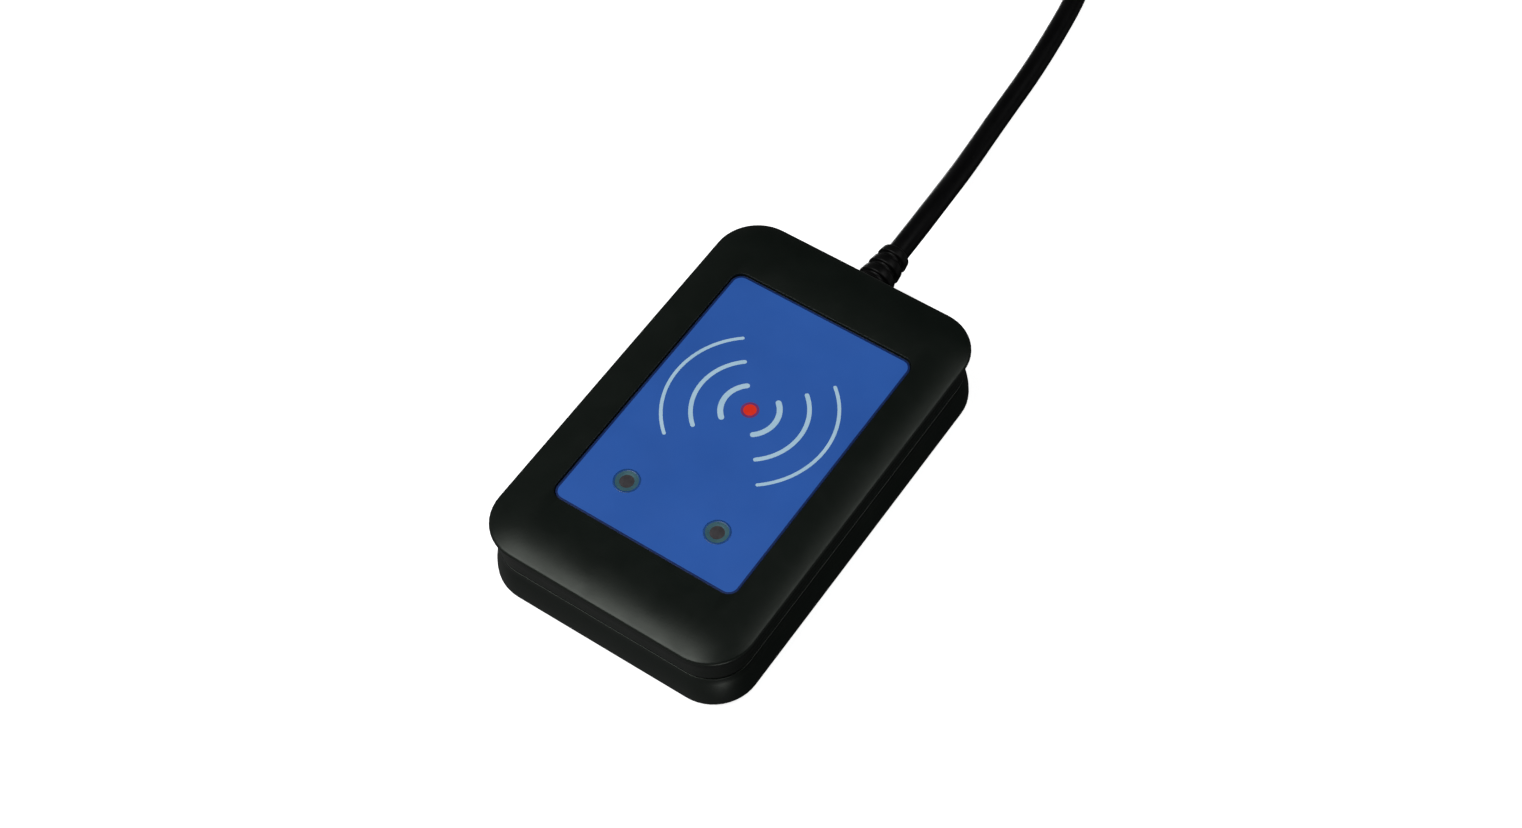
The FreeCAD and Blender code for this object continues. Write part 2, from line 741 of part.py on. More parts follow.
def tube(label, points, radius, least):
    """A round tube along straight runs joined by tangent arcs as large as the runs allow."""
    points = [Vector(*p) for p in points]
    runs = [(b - a).Length for a, b in zip(points, points[1:])]
    ways = [(b - a).normalize() for a, b in zip(points, points[1:])]
    edges, here, radii = [], points[0], []
    for number in range(1, len(points) - 1):
        before, after = ways[number - 1], ways[number]
        turn = before.getAngle(after)
        reach = 0.45 * min(runs[number - 1], runs[number])
        bend = reach / math.tan(turn / 2)
        radii.append(bend)
        start = points[number] - before * reach
        end = points[number] + after * reach
        inward = (after - before).normalize()
        middle = points[number] + inward * (bend / math.cos(turn / 2) - bend)
        edges.append(Part.LineSegment(here, start).toShape())
        edges.append(Part.Arc(start, middle, end).toShape())
        here = end
    edges.append(Part.LineSegment(here, points[-1]).toShape())
    path = Part.Wire(edges)
    circle = Part.Circle(points[0], ways[0], radius)
    profile = Part.Wire([circle.toShape()])
    solid = path.makePipeShell([profile], True, False)
    feature = doc.addObject("Part::Feature", label)
    feature.Label = label
    feature.Shape = solid
    feature.Placement = Placement()
    NODES.append(feature)
    expected = math.pi * radius**2 * path.Length
    print(f"{label}: length {path.Length:.1f}, radii", [round(r, 1) for r in radii])
    print(f"{label}: volume {solid.Volume:.1f}, section x length {expected:.1f}")
    if abs(solid.Volume - expected) > 0.01 * expected:
        raise RuntimeError(f"{label} is not a true tube")
    if min(radii) < least:
        raise RuntimeError(f"{label} bends too tightly")
    return path.Length


# The lead from inside the housing, through the strain relief, down to the
# surface and on to the coil's outer side.
LEAD_ROUTE = [
    (0.0, 39.4, 9.6),
    (0.0, 60.0, 9.6),
    (-1.0, 73.0, 7.8),
    (-2.8, 86.0, 3.9),
    (-4.4, 101.0, 2.3),
    (-5.4, 121.0, 2.3),
    (-9.0, 147.0, 2.3),
    (-18.45, 169.9, 2.3),
]

# The lead's last stretch, half round on top of the coil and into its plug.
TAIL_ROUTE = [
    (-27.5, 192.65, 21.05),
    (-27.5, 213.35, 21.05),
    (-12.85, 228.0, 21.5),
    (7.85, 228.0, 22.2),
    (22.5, 213.35, 22.8),
    (22.5, 192.65, 22.8),
]


def make_wires():
    colours = ("red", "white", "green", "black")
    ends = ((-0.85, 10.45), (-0.85, 8.75), (0.85, 8.75), (0.85, 10.45))
    height = DIM["board_top"] + WIRE_RISE
    for number, (colour, (x, z)) in enumerate(zip(colours, ends)):
        across = -3.0 + 2.0 * number
        route = [
            (across, WIRE_PLUG_BACK, height),
            (across, 30.6, height),
            (x, 35.6, z),
            (x, LEAD_ROUTE[0][1], z),
        ]
        tube(f"wire_{colour}", route, WIRE_RADIUS, 2 * WIRE_RADIUS)


def make_strain_relief():
    """A tapered ribbed boot moulded on the lead, with a neck and a flange held by the covers."""
    bore = DIM["cord_radius"]
    inner_wall = DIM["housing_length"] / 2 - DIM["wall_inset"]
    outer_wall = DIM["housing_length"] / 2 - DIM["waist_inset"]
    flange_start = inner_wall - DIM["boot_flange_thickness"]
    neck, base, tip = DIM["boot_neck_radius"], DIM["boot_base_radius"], DIM["boot_tip_radius"]
    tip_place = DIM["boot_tip_place"]
    slope = (tip - base) / (tip_place - outer_wall)
    steps = [
        ((DIM["boot_flange_radius"], flange_start),),
        ((DIM["boot_flange_radius"], inner_wall),),
        ((neck, inner_wall),),
        ((neck, outer_wall),),
        ((base, outer_wall),),
    ]
    groove_depth = DIM["boot_groove_depth"]
    for number in range(3):
        groove_start = DIM["boot_groove_start"] + number * DIM["boot_groove_spacing"]
        groove_end = groove_start + DIM["boot_groove_width"]
        before = base + slope * (groove_start - outer_wall)
        after = base + slope * (groove_end - outer_wall)
        steps.append(((before, groove_start),))
        steps.append(((before - groove_depth, groove_start),))
        steps.append(((after - groove_depth, groove_end),))
        steps.append(((after, groove_end),))
    steps += [
        ((tip, tip_place - 0.4),),
        ((tip - 0.4, tip_place),),
        ((bore, tip_place),),
        ((bore, flange_start),),
    ]
    revolved("strain_relief", steps, DIM["joint_height"])


TIE_ANGLE = 172.0


def make_coil():
    """The wound length of the lead as its outer shape, and the strap that holds the turns."""
    body = new_body("cable_coil")
    sketch = new_sketch(body, "coil_outline", "XY_Plane", "coil_base")
    circles(sketch, [("", "")], "coil_outer_radius")
    circles(sketch, [("", "")], "coil_inner_radius")
    ring = pad(body, "coil_ring", sketch, "coil_height")
    rounding = body.newObject("PartDesign::Fillet", "coil_rounded")
    edges = [f"Edge{n + 1}" for n, e in enumerate(ring.Shape.Edges) if len(e.Vertexes) == 1]
    rounding.Base = (ring, edges)
    bind(rounding, "Radius", "coil_rounding")
    body.Placement = Placement(Vector(DIM["coil_x"], DIM["coil_y"], 0.0), Rotation())
    doc.recompute()

    middle = (DIM["coil_inner_radius"] + DIM["coil_outer_radius"]) / 2
    base = DIM["coil_base"]
    band = doc.addObject("Part::Box", "tie_band")
    hollow = doc.addObject("Part::Box", "tie_hollow")
    for block, across, tall, low in (
        (band, "tie_outside", "tie_height", base - DIM["tie_thickness"]),
        (hollow, "tie_inside", "tie_hollow_height", base),
    ):
        bind(block, "Length", "tie_width")
        bind(block, "Width", across)
        bind(block, "Height", tall)
        left = DIM["coil_x"] - DIM["tie_width"] / 2
        near = DIM["coil_y"] + middle - DIM[across] / 2
        block.Placement = Placement(Vector(left, near, low), Rotation())
    tie = doc.addObject("Part::Cut", "cable_tie")
    tie.Label = "cable_tie"
    tie.Base = band
    tie.Tool = hollow
    turn = Rotation(Vector(0, 0, 1), TIE_ANGLE)
    centre = Vector(DIM["coil_x"], DIM["coil_y"], 0)
    tie.Placement = Placement(centre, turn).multiply(Placement(-centre, Rotation()))
    NODES.append(tie)


def make_plug():
    """A type-A plug lying on the coil: moulded grip, metal shell, tongue and contacts."""
    x, start, axis = TAIL_ROUTE[-1]
    bore = DIM["cord_radius"]
    length = DIM["plug_boot_length"]
    steps = [
        ((bore + 0.6, 0.0),),
        ((bore + 0.7, -2.0),),
        ((bore + 0.2, -2.0),),
        ((bore + 0.2, -3.0),),
        ((bore + 0.85, -3.0),),
        ((bore + 0.95, -5.0),),
        ((bore + 0.4, -5.0),),
        ((bore + 0.4, -6.0),),
        ((bore + 1.1, -6.0),),
        ((bore + 1.2, -length),),
        ((0.0, -length),),
        ((0.0, 0.0),),
    ]
    revolved("usb_plug_boot", steps, axis, (x, start))

    body = new_body("usb_plug_grip")
    sketch = new_sketch(body, "grip_outline", "XZ_Plane")
    bind(sketch, "AttachmentOffset.Base.z", f"plug_boot_length - {start}")
    rounded_rectangle(sketch, "plug_width", "plug_thickness", "plug_rounding")
    pad(body, "grip_block", sketch, "plug_length")
    body.Placement = Placement(Vector(x, 0.0, axis), Rotation())

    shell_start = start - length - DIM["plug_length"]
    shell = new_body("usb_plug_shell")
    outer = new_sketch(shell, "shell_outline", "XZ_Plane")
    bind(outer, "AttachmentOffset.Base.z", f"plug_boot_length + plug_length - {start}")
    w, t, wall = DIM["shell_width"] / 2, DIM["shell_thickness"] / 2, DIM["shell_wall"]
    outline(outer, [((w, t),), ((w, -t),), ((-w, -t),), ((-w, t),)])
    inner_w, inner_t = w - wall, t - wall
    corners = ((inner_w, inner_t), (inner_w, -inner_t), (-inner_w, -inner_t), (-inner_w, inner_t))
    outline(outer, [(corner,) for corner in corners])
    pad(shell, "shell_tube", outer, "shell_length")
    window = new_sketch(shell, "shell_windows", "XY_Plane")
    near = shell_start - DIM["shell_window_near"]
    far = shell_start - DIM["shell_window_far"]
    for side in (-1, 1):
        left = side * DIM["shell_window_place"] - DIM["shell_window_width"] / 2
        right = left + DIM["shell_window_width"]
        outline(window, [((right, near),), ((right, far),), ((left, far),), ((left, near),)])
    cut = pocket(shell, "shell_holes", window, "2 * shell_thickness")
    cut.Midplane = True
    shell.Placement = Placement(Vector(x, 0.0, axis), Rotation())
    doc.recompute()

    tongue_middle = shell_start - DIM["usb_plug_tongue_length"] / 2
    tongue_base = axis + inner_t - DIM["usb_plug_tongue_height"]
    box("usb_plug_tongue", (x, tongue_middle, tongue_base))
    contacts = []
    kinds = ("outer_contact", "inner_contact", "inner_contact", "outer_contact")
    for number, (across, kind) in enumerate(zip((-3.5, -1.0, 1.0, 3.5), kinds), start=1):
        middle = shell_start - 1.0 - DIM[kind + "_length"] / 2
        place = (x + across, middle, tongue_base - DIM[kind + "_height"])
        contacts.append(box(f"contact_{number}", place, kind, keep=False))
    group("usb_plug_contacts", contacts)


# ----------------------------------------------------------------------- build

make_top_cover()
make_bottom_cover()
make_front_label()
make_status_windows()
make_feet_and_plate()
make_screws()
make_board()
make_components()
make_wire_connector()
make_wires()
make_strain_relief()
tube("usb_cable", LEAD_ROUTE, DIM["cord_radius"], 5 * 2 * DIM["cord_radius"])
make_coil()
tube("usb_cable_end", TAIL_ROUTE, DIM["cord_radius"], 4.9 * 2 * DIM["cord_radius"])
make_plug()
doc.recompute()

failed = [o.Label for o in doc.Objects if "Invalid" in o.State or "Error" in o.State]
if failed:
    raise RuntimeError(f"objects that failed: {failed}")
os.makedirs("parts", exist_ok=True)
for node in NODES:
    shape = node.Shape
    if shape.isNull() or not shape.isValid() or not shape.Solids:
        raise RuntimeError(f"{node.Label} has no valid solid")
    shape.exportStep(f"parts/{node.Label}.step")
print(f"{len(NODES)} nodes written")
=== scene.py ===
"""Looks of the desktop card reader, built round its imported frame.

Sizes are in millimetres in the row's frame and become metres where an object is made.
"""

import math

import bmesh
import bpy
from mathutils import Matrix, Vector


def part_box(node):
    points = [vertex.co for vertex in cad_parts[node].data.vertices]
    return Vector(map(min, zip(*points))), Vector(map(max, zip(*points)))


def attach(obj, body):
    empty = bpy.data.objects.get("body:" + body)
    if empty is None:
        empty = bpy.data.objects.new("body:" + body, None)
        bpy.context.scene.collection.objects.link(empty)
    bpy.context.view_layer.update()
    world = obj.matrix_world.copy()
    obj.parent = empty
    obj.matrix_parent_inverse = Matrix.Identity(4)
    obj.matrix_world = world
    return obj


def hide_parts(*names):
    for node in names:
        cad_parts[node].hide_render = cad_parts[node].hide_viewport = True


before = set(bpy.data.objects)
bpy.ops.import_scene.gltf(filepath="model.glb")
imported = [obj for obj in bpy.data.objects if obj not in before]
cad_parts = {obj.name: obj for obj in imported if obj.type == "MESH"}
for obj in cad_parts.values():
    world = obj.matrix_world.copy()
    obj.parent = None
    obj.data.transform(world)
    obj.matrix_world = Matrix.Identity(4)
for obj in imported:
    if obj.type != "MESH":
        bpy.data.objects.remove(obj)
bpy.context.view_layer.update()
MM = 0.001
MICRON = 0.000001


def box_mm(node):
    """Lowest and highest corner of a CAD node, in millimetres."""
    low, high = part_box(node)
    return low / MM, high / MM


# ---- sizes

TOP_LOW, TOP_HIGH = box_mm("top_cover")
BASE_LOW, BASE_HIGH = box_mm("bottom_cover")
LABEL_LOW, LABEL_HIGH = box_mm("front_label")

HALF_WIDTH, HALF_LENGTH = TOP_HIGH.x, TOP_HIGH.y
CORNER = 9.1                # round of the housing's corners, seen from above
CROWN_WIDTH = 8.0           # the top falls away over this width
CROWN_ROUND = 24.5
RIM_ROUND = 0.6
WAIST_INSET = 1.0
WAIST_TOP = 11.6
WAIST_LOW = 8.55
JOINT_TOP = TOP_LOW.z
JOINT_LOW = 9.35
JOINT_ROUND = 0.15
BULGE_HEIGHT = 2.4
POST_OVERLAP = 0.4     # how far bosses and posts run into the shell that carries them
WALL_INSET = 2.8
CEILING = 15.8
FLOOR_TOP = 2.2
LIP_INSET = 1.95
RABBET_INSET = 1.8
RABBET_TOP = 11.6
RECESS_GAP = 0.2            # between the label and its recess
RECESS_EDGE = 0.06
LABEL_ROUND = 2.2
LABEL_MIDDLE = (LABEL_LOW.y + LABEL_HIGH.y) / 2
LABEL_HALF_WIDTH = (LABEL_HIGH.x - LABEL_LOW.x) / 2
LABEL_HALF_LENGTH = (LABEL_HIGH.y - LABEL_LOW.y) / 2
SCREW_PLACE = (20.5, 36.5)
BOSS_RADIUS = 2.9
BOSS_HOLE_RADIUS = 1.05
BOSS_HOLE_DEPTH = 5.0
SCREW_HOLE_RADIUS = 1.4
COUNTERBORE_RADIUS = 2.5
COUNTERBORE_TOP = 5.2
STANDOFF_PLACE = (20.6, 30.0)
STANDOFF_RADIUS = 2.2
STANDOFF_HOLE_RADIUS = 0.8
STANDOFF_HOLE_DEPTH = 3.5
BOARD_BASE = 7.4
RIB_START, RIB_END = 38.0, 39.4     # the rib that carries the lead inside the back wall
RIB_WIDTH = 14.0
FOOT_PLACE = (17.5, 24.0)
FOOT_RADIUS = 4.5
FOOT_RECESS_TOP = 0.9
COLLAR_RADIUS = 3.4
COLLAR_LOW = 13.2
WINDOW_RADIUS = 2.6
WINDOW_HEAD = 0.9
STEM_RADIUS = 1.6
BOOT_AXIS = 9.6
BOOT_NECK_RADIUS = 3.3
BOOT_BASE_RADIUS = 4.2
GROOVE_START, GROOVE_SPACING = 46.4, 3.0
CORD_DIAMETER = 4.5

# The lead's own points, from inside the housing down to the surface and on to its coil.
LEAD_ROUTE = [
    (0.0, 39.4, 9.6),
    (0.0, 60.0, 9.6),
    (-1.0, 73.0, 7.8),
    (-2.8, 86.0, 3.9),
    (-4.4, 101.0, 2.3),
    (-5.4, 121.0, 2.3),
    (-9.0, 147.0, 2.3),
    (-18.45, 169.9, 2.3),
]
# The lead's last stretch, half round on top of the coil and into its plug.
TAIL_ROUTE = [
    (-27.5, 213.35, 21.05),
    (-12.85, 228.0, 21.5),
    (7.85, 228.0, 22.2),
    (22.5, 213.35, 22.8),
    (22.5, 192.65, 22.8),
    (22.5, 188.0, 22.8),
]
COIL_CENTRE = (4.0, 198.0)
COIL_EYE_RADIUS = 20.25
COIL_START = 202.46         # degrees round the coil where the lead meets it
COIL_STEPS = 14             # control points in each turn
# How far round the coil, in degrees, and the radius and height of the lead's line there.
COIL_STATIONS = [
    (0.0, 31.5, 3.05),
    (720.0, 22.5, 3.05),
    (815.6, 22.5, 7.55),
    (1535.6, 31.5, 7.55),
    (1631.2, 31.5, 12.05),
    (2351.2, 22.5, 12.05),
    (2446.8, 22.5, 16.55),
    (3192.5, 31.5, 16.55),
    (3262.5, 31.5, 21.05),
]
TIE_TURN = 262.0            # degrees round the coil where the tie holds it


# ---- mesh helpers

CORNER_STEPS = 12


def rounded_ring(half_w, half_l, radius, z, middle=0.0, steps=CORNER_STEPS, sides=(10, 16)):
    """Points of a rounded rectangle, anticlockwise from the right end of its back right corner."""
    arcs = []
    for across, along, start in ((1, 1, 0), (-1, 1, 90), (-1, -1, 180), (1, -1, 270)):
        centre_x = across * (half_w - radius)
        centre_y = middle + along * (half_l - radius)
        turns = [math.radians(start + 90 * n / steps) for n in range(steps + 1)]
        arcs.append(
            [(centre_x + radius * math.cos(t), centre_y + radius * math.sin(t)) for t in turns]
        )
    points = []
    for number, arc in enumerate(arcs):
        points += arc
        (x0, y0), (x1, y1) = arc[-1], arcs[(number + 1) % 4][0]
        pieces = sides[number % 2]
        for n in range(1, pieces):
            share = n / pieces
            points.append((x0 + (x1 - x0) * share, y0 + (y1 - y0) * share))
    return [(x, y, z) for x, y in points]


def housing_ring(inset, z):
    """The housing's outline, moved inwards by inset."""
    radius = max(CORNER - inset, 0.6)
    return rounded_ring(HALF_WIDTH - inset, HALF_LENGTH - inset, radius, z)


def arc_points(centre, radius, start, end, steps):
    """Points of an arc in a plane, from one angle to another in degrees."""
    turns = [math.radians(start + (end - start) * n / steps) for n in range(steps + 1)]
    return [(centre[0] + radius * math.cos(t), centre[1] + radius * math.sin(t)) for t in turns]


def skin(rings, closed=False):
    """A solid through rings of equally many points, capped unless it closes on itself."""
    bm = bmesh.new()
    loops = [[bm.verts.new(point) for point in ring] for ring in rings]
    pairs = list(zip(loops, loops[1:]))
    if closed:
        pairs.append((loops[-1], loops[0]))
    for low, high in pairs:
        for n in range(len(low)):
            after = (n + 1) % len(low)
            bm.faces.new((low[n], low[after], high[after], high[n]))
    if not closed:
        bm.faces.new(list(reversed(loops[0])))
        bm.faces.new(loops[-1])
    bmesh.ops.recalc_face_normals(bm, faces=bm.faces)
    return bm


def turned(profile, place=(0.0, 0.0, 0.0), along="Z", steps=48, closed=False):
    """A turned solid: profile gives (radius, distance along the axis)."""
    rings = []
    for radius, distance in profile:
        turns = [math.tau * n / steps for n in range(steps)]
        rings.append([(radius * math.cos(t), radius * math.sin(t), distance) for t in turns])
    bm = skin(rings, closed)
    if along == "Y":
        bm.transform(Matrix.Rotation(math.radians(-90), 4, "X"))
    bm.transform(Matrix.Translation(place))
    bmesh.ops.recalc_face_normals(bm, faces=bm.faces)
    return bm


def rod(radius, low, high, place, steps=40):
    """A plain round rod, used to add or take away material."""
    return turned([(radius, low), (radius, high)], (place[0], place[1], 0.0), steps=steps)


def block(size, middle, edge=0.0, segments=2):
    """A block with rounded edges: its size and its middle."""
    bm = bmesh.new()
    bmesh.ops.create_cube(bm, size=1.0)
    bmesh.ops.scale(bm, vec=size, verts=bm.verts)
    if edge:
        bmesh.ops.bevel(
            bm, geom=bm.edges[:], offset=edge, segments=segments, profile=0.5, affect="EDGES"
        )
    bmesh.ops.translate(bm, vec=middle, verts=bm.verts)
    return bm


def merged(parts):
    """Several separate solids as one mesh."""
    whole = bmesh.new()
    for part in parts:
        mesh = bpy.data.meshes.new("part")
        part.to_mesh(mesh)
        part.free()
        whole.from_mesh(mesh)
        bpy.data.meshes.remove(mesh)
    return whole


def loose_object(name, bm):
    """An object made of the mesh, which is used up."""
    mesh = bpy.data.meshes.new(name)
    bm.to_mesh(mesh)
    bm.free()
    obj = bpy.data.objects.new(name, mesh)
    bpy.context.scene.collection.objects.link(obj)
    return obj


def worked(base, steps):
    """The base solid after each (operation, tools): material added to it or taken out of it."""
    host = loose_object("host", base)
    tools = []
    for number, (operation, parts) in enumerate(steps):
        tool = loose_object(f"tool_{number}", merged(parts))
        modifier = host.modifiers.new(f"step_{number}", "BOOLEAN")
        modifier.operation = operation
        modifier.solver = "EXACT"
        modifier.object = tool
        tools.append(tool)
    bpy.context.view_layer.update()
    result = bmesh.new()
    result.from_object(host, bpy.context.evaluated_depsgraph_get())
    for obj in (host, *tools):
        mesh = obj.data
        bpy.data.objects.remove(obj)
        bpy.data.meshes.remove(mesh)
    bmesh.ops.remove_doubles(result, verts=result.verts, dist=0.0005)
    bmesh.ops.dissolve_degenerate(result, edges=result.edges, dist=0.0005)
    return result


def piece(name, bm, finishes, nodes, sharp=34.0):
    """A finished piece of the reader: its looks, its body and the CAD nodes that it stands for."""
    bm.transform(Matrix.Scale(MM, 4))
    obj = loose_object(name, bm)
    obj.data.shade_smooth()
    obj.data.set_sharp_from_angle(angle=math.radians(sharp))
    for finish in finishes:
        obj.data.materials.append(LOOKS[finish])
    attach(obj, "root")
    if nodes:
        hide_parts(*nodes)
    return obj


def four_corners(place):
    """The four places at plus and minus x and y."""
    return [(side * place[0], end * place[1]) for side in (-1, 1) for end in (-1, 1)]


# ---- looks


def set_inputs(node, values):
    """Sets each named input to its value, or joins it to the output given for it."""
    for socket, value in values.items():
        if isinstance(value, bpy.types.NodeSocket):
            node.id_data.links.new(value, node.inputs[socket])
        else:
            node.inputs[socket].default_value = value


def node_adder(tree):
    """A function that adds a node of a kind, sets it up and gives back one of its outputs."""

    def add(kind, out, values=None, **settings):
        node = tree.nodes.new("ShaderNode" + kind)
        for key, value in settings.items():
            setattr(node, key, value)
        set_inputs(node, values or {})
        return node.outputs[out]

    return add


def new_look(name):
    """An empty material, its shader and the function that adds its nodes."""
    look = bpy.data.materials.new(name)
    look.use_nodes = True
    return look, look.node_tree.nodes["Principled BSDF"], node_adder(look.node_tree)


def two_colours(add, share, dark, light, ends=(0.0, 1.0)):
    """Colour from dark to light, as share goes from one end to the other."""
    colour = add("ValToRGB", "Color", {"Fac": share})
    for stop, position, shade in zip(colour.node.color_ramp.elements, ends, (dark, light)):
        stop.position, stop.color = position, (*shade, 1)
    return colour


def spaced(fixed):
    """Socket names as Blender writes them, with spaces."""
    return {socket.replace("_", " "): value for socket, value in fixed.items()}


def surface(name, dark, light, rough, grain, bump, patch, stretch=(1, 1, 1), wear=0.0, **fixed):
    """A moulded or printed surface.

    Its colour drifts from dark to light over patches, its roughness from one value to the other,
    and its grain is raised by bump micrometres.  wear polishes and lightens its outer edges.
    """
    look, shader, add = new_look(name)
    where = add("TexCoord", "Object")
    where = add("Mapping", "Vector", {"Scale": stretch, "Vector": where})
    drift = add("TexNoise", "Fac", {"Scale": patch, "Detail": 4.0, "Vector": where})
    colour = two_colours(add, drift, dark, light, (0.3, 0.7))
    shape = {"Scale": grain, "Detail": 3.0, "Roughness": 0.6, "Vector": where}
    fine = add("TexNoise", "Fac", shape)
    raised = add("Bump", "Normal", {"Strength": 1.0, "Distance": bump * MICRON, "Height": fine})
    shape = {"Scale": patch * 2.7, "Detail": 5.0, "Distortion": 0.4, "Vector": where}
    smear = add("TexNoise", "Fac", shape)
    ends = {"From Min": 0.3, "From Max": 0.7, "To Min": rough[0], "To Max": rough[1]}
    roughness = add("MapRange", "Result", {**ends, "Value": smear})
    if wear:
        edge = add("NewGeometry", "Pointiness")
        edge = add("MapRange", "Result", {"From Min": 0.52, "From Max": 0.62, "Value": edge})
        broken = add("Math", "Value", {0: edge, 1: smear}, operation="MULTIPLY")
        paler = (*[min(1.0, c * (1 + wear) + 0.004) for c in light], 1)
        blend = {"Factor": broken, "A": colour, "B": paler}
        colour = add("Mix", "Result", blend, data_type="RGBA")
        blend = {0: broken, 1: -0.18, 2: roughness}
        roughness = add("Math", "Value", blend, operation="MULTIPLY_ADD")
    set_inputs(shader, {"Base Color": colour, "Roughness": roughness, "Normal": raised})
    set_inputs(shader, spaced(fixed))
    return look


def same(value):
    """A grey, as a colour."""
    return (value, value, value)


# Slot, name, darkest and lightest colour, roughness from and to, scale of the grain, how far the
# grain is raised in micrometres, scale of the patches, and what else sets the look apart.
SURFACES = (
    ("housing_black", "moulded_black", (0.0042, 0.0063, 0.005), (0.006, 0.0086, 0.007),
     (0.3, 0.38), 5200, 8, 70,
     dict(wear=0.6, Specular_IOR_Level=0.34, Specular_Tint=(0.93, 1.0, 0.91, 1))),
    ("label_blue", "printed_film_blue", (0.03, 0.127, 0.505), (0.036, 0.146, 0.565),
     (0.4, 0.5), 4200, 3, 55, dict(Specular_IOR_Level=0.3)),
    # The navy band along the label's edge is painted shade, standing for the shade in the gap round
    # the label's recess.
    ("label_border", "printed_film_navy", (0.006, 0.022, 0.11), (0.008, 0.03, 0.145),
     (0.4, 0.5), 4200, 3, 55, dict(Specular_IOR_Level=0.3)),
    ("label_pale_print", "pale_ink", (0.5, 0.76, 0.96), (0.58, 0.82, 1.0),
     (0.4, 0.55), 6000, 2, 240, {}),
    ("label_red_print", "red_ink", (0.93, 0.026, 0.006), (0.99, 0.038, 0.01),
     (0.4, 0.5), 6000, 2, 500, {}),
    ("red_print_rim", "dark_ink", (0.17, 0.03, 0.14), (0.25, 0.04, 0.19),
     (0.4, 0.5), 6000, 2, 500, {}),
    ("window_plastic", "smoked_window", (0.046, 0.125, 0.165), (0.072, 0.168, 0.19),
     (0.3, 0.4), 3000, 2, 400, dict(Specular_IOR_Level=0.3)),
    ("window_core", "window_core", (0.05, 0.047, 0.051), (0.076, 0.071, 0.076),
     (0.32, 0.42), 2400, 4, 700, dict(Specular_IOR_Level=0.3)),
    # The windows' outer lip is darker blue: partly its own tint, partly painted shade of the gap
    # round the window.
    ("window_edge", "window_edge", (0.012, 0.07, 0.25), (0.016, 0.085, 0.3),
     (0.3, 0.4), 3000, 3, 500, {}),
    ("feet_rubber", "foot_rubber", same(0.016), (0.03, 0.03, 0.029),
     (0.62, 0.8), 3000, 20, 300, dict(wear=0.5)),
    ("plate_silver", "plate_foil", same(0.46), same(0.54),
     (0.36, 0.44), 2600, 1, 90, dict(stretch=(1, 9, 1), Metallic=0.7)),
    ("screw_steel", "screw_zinc", (0.42, 0.43, 0.44), (0.58, 0.59, 0.6),
     (0.22, 0.36), 2600, 6, 500, dict(wear=0.2, Metallic=1.0)),
    ("cable_pvc", "lead_pvc", (0.0014, 0.0014, 0.0016), (0.0028, 0.0028, 0.003),
     (0.38, 0.5), 2400, 12, 130, dict(Specular_IOR_Level=0.14)),
    ("boot_pvc", "boot_pvc", same(0.0018), same(0.0032),
     (0.36, 0.46), 3200, 10, 160, dict(wear=0.3, Specular_IOR_Level=0.18)),
    ("plug_grip", "plug_pvc", (0.005, 0.005, 0.0052), (0.0085, 0.0085, 0.0088),
     (0.38, 0.5), 3600, 12, 140, dict(wear=0.5)),
    ("plug_metal", "nickel_plate", (0.46, 0.46, 0.45), (0.6, 0.6, 0.58),
     (0.3, 0.42), 1400, 3, 260, dict(stretch=(8, 1, 1), wear=0.1, Metallic=1.0)),
    ("plug_tongue", "tongue_nylon", (0.72, 0.72, 0.69), (0.82, 0.82, 0.79),
     (0.38, 0.5), 3000, 4, 300, {}),
    ("contact_gold", "gold_plate", (0.78, 0.52, 0.17), (0.88, 0.62, 0.24),
     (0.18, 0.3), 2200, 2, 500, dict(stretch=(1, 6, 1), Metallic=1.0)),
    ("chip_black", "chip_epoxy", (0.014, 0.014, 0.015), (0.024, 0.024, 0.025),
     (0.45, 0.6), 5200, 8, 500, dict(wear=0.3)),
    ("crystal_can", "crystal_can", (0.6, 0.6, 0.58), (0.74, 0.74, 0.71),
     (0.2, 0.34), 1800, 4, 500, dict(stretch=(1, 7, 1), Metallic=1.0)),
    ("buzzer_black", "buzzer_case", same(0.018), same(0.03),
     (0.4, 0.55), 4200, 10, 300, dict(wear=0.4)),
    ("lamp_white", "lamp_body", (0.72, 0.71, 0.6), (0.84, 0.83, 0.74),
     (0.25, 0.4), 3000, 4, 700, dict(Coat_Weight=0.3)),
    ("capacitor_tan", "capacitor_case", (0.52, 0.33, 0.11), (0.68, 0.46, 0.19),
     (0.4, 0.55), 4200, 6, 600, {}),
    ("resistor_dark", "resistor_glaze", (0.026, 0.026, 0.032), (0.045, 0.045, 0.055),
     (0.2, 0.35), 4200, 4, 700, {}),
    ("connector_cream", "connector_nylon", (0.7, 0.65, 0.49), (0.82, 0.78, 0.63),
     (0.42, 0.56), 2600, 8, 260, {}),
    ("wire_red", "wire_sleeve_red", (0.5, 0.014, 0.01), (0.66, 0.03, 0.02),
     (0.32, 0.46), 3200, 6, 400, {}),
    ("wire_white", "wire_sleeve_white", (0.68, 0.68, 0.65), (0.8, 0.8, 0.77),
     (0.32, 0.46), 3200, 6, 400, {}),
    ("wire_green", "wire_sleeve_green", (0.016, 0.26, 0.055), (0.03, 0.36, 0.09),
     (0.32, 0.46), 3200, 6, 400, {}),
    ("wire_black", "wire_sleeve_black", same(0.01), same(0.02),
     (0.32, 0.46), 3200, 6, 400, {}),
)


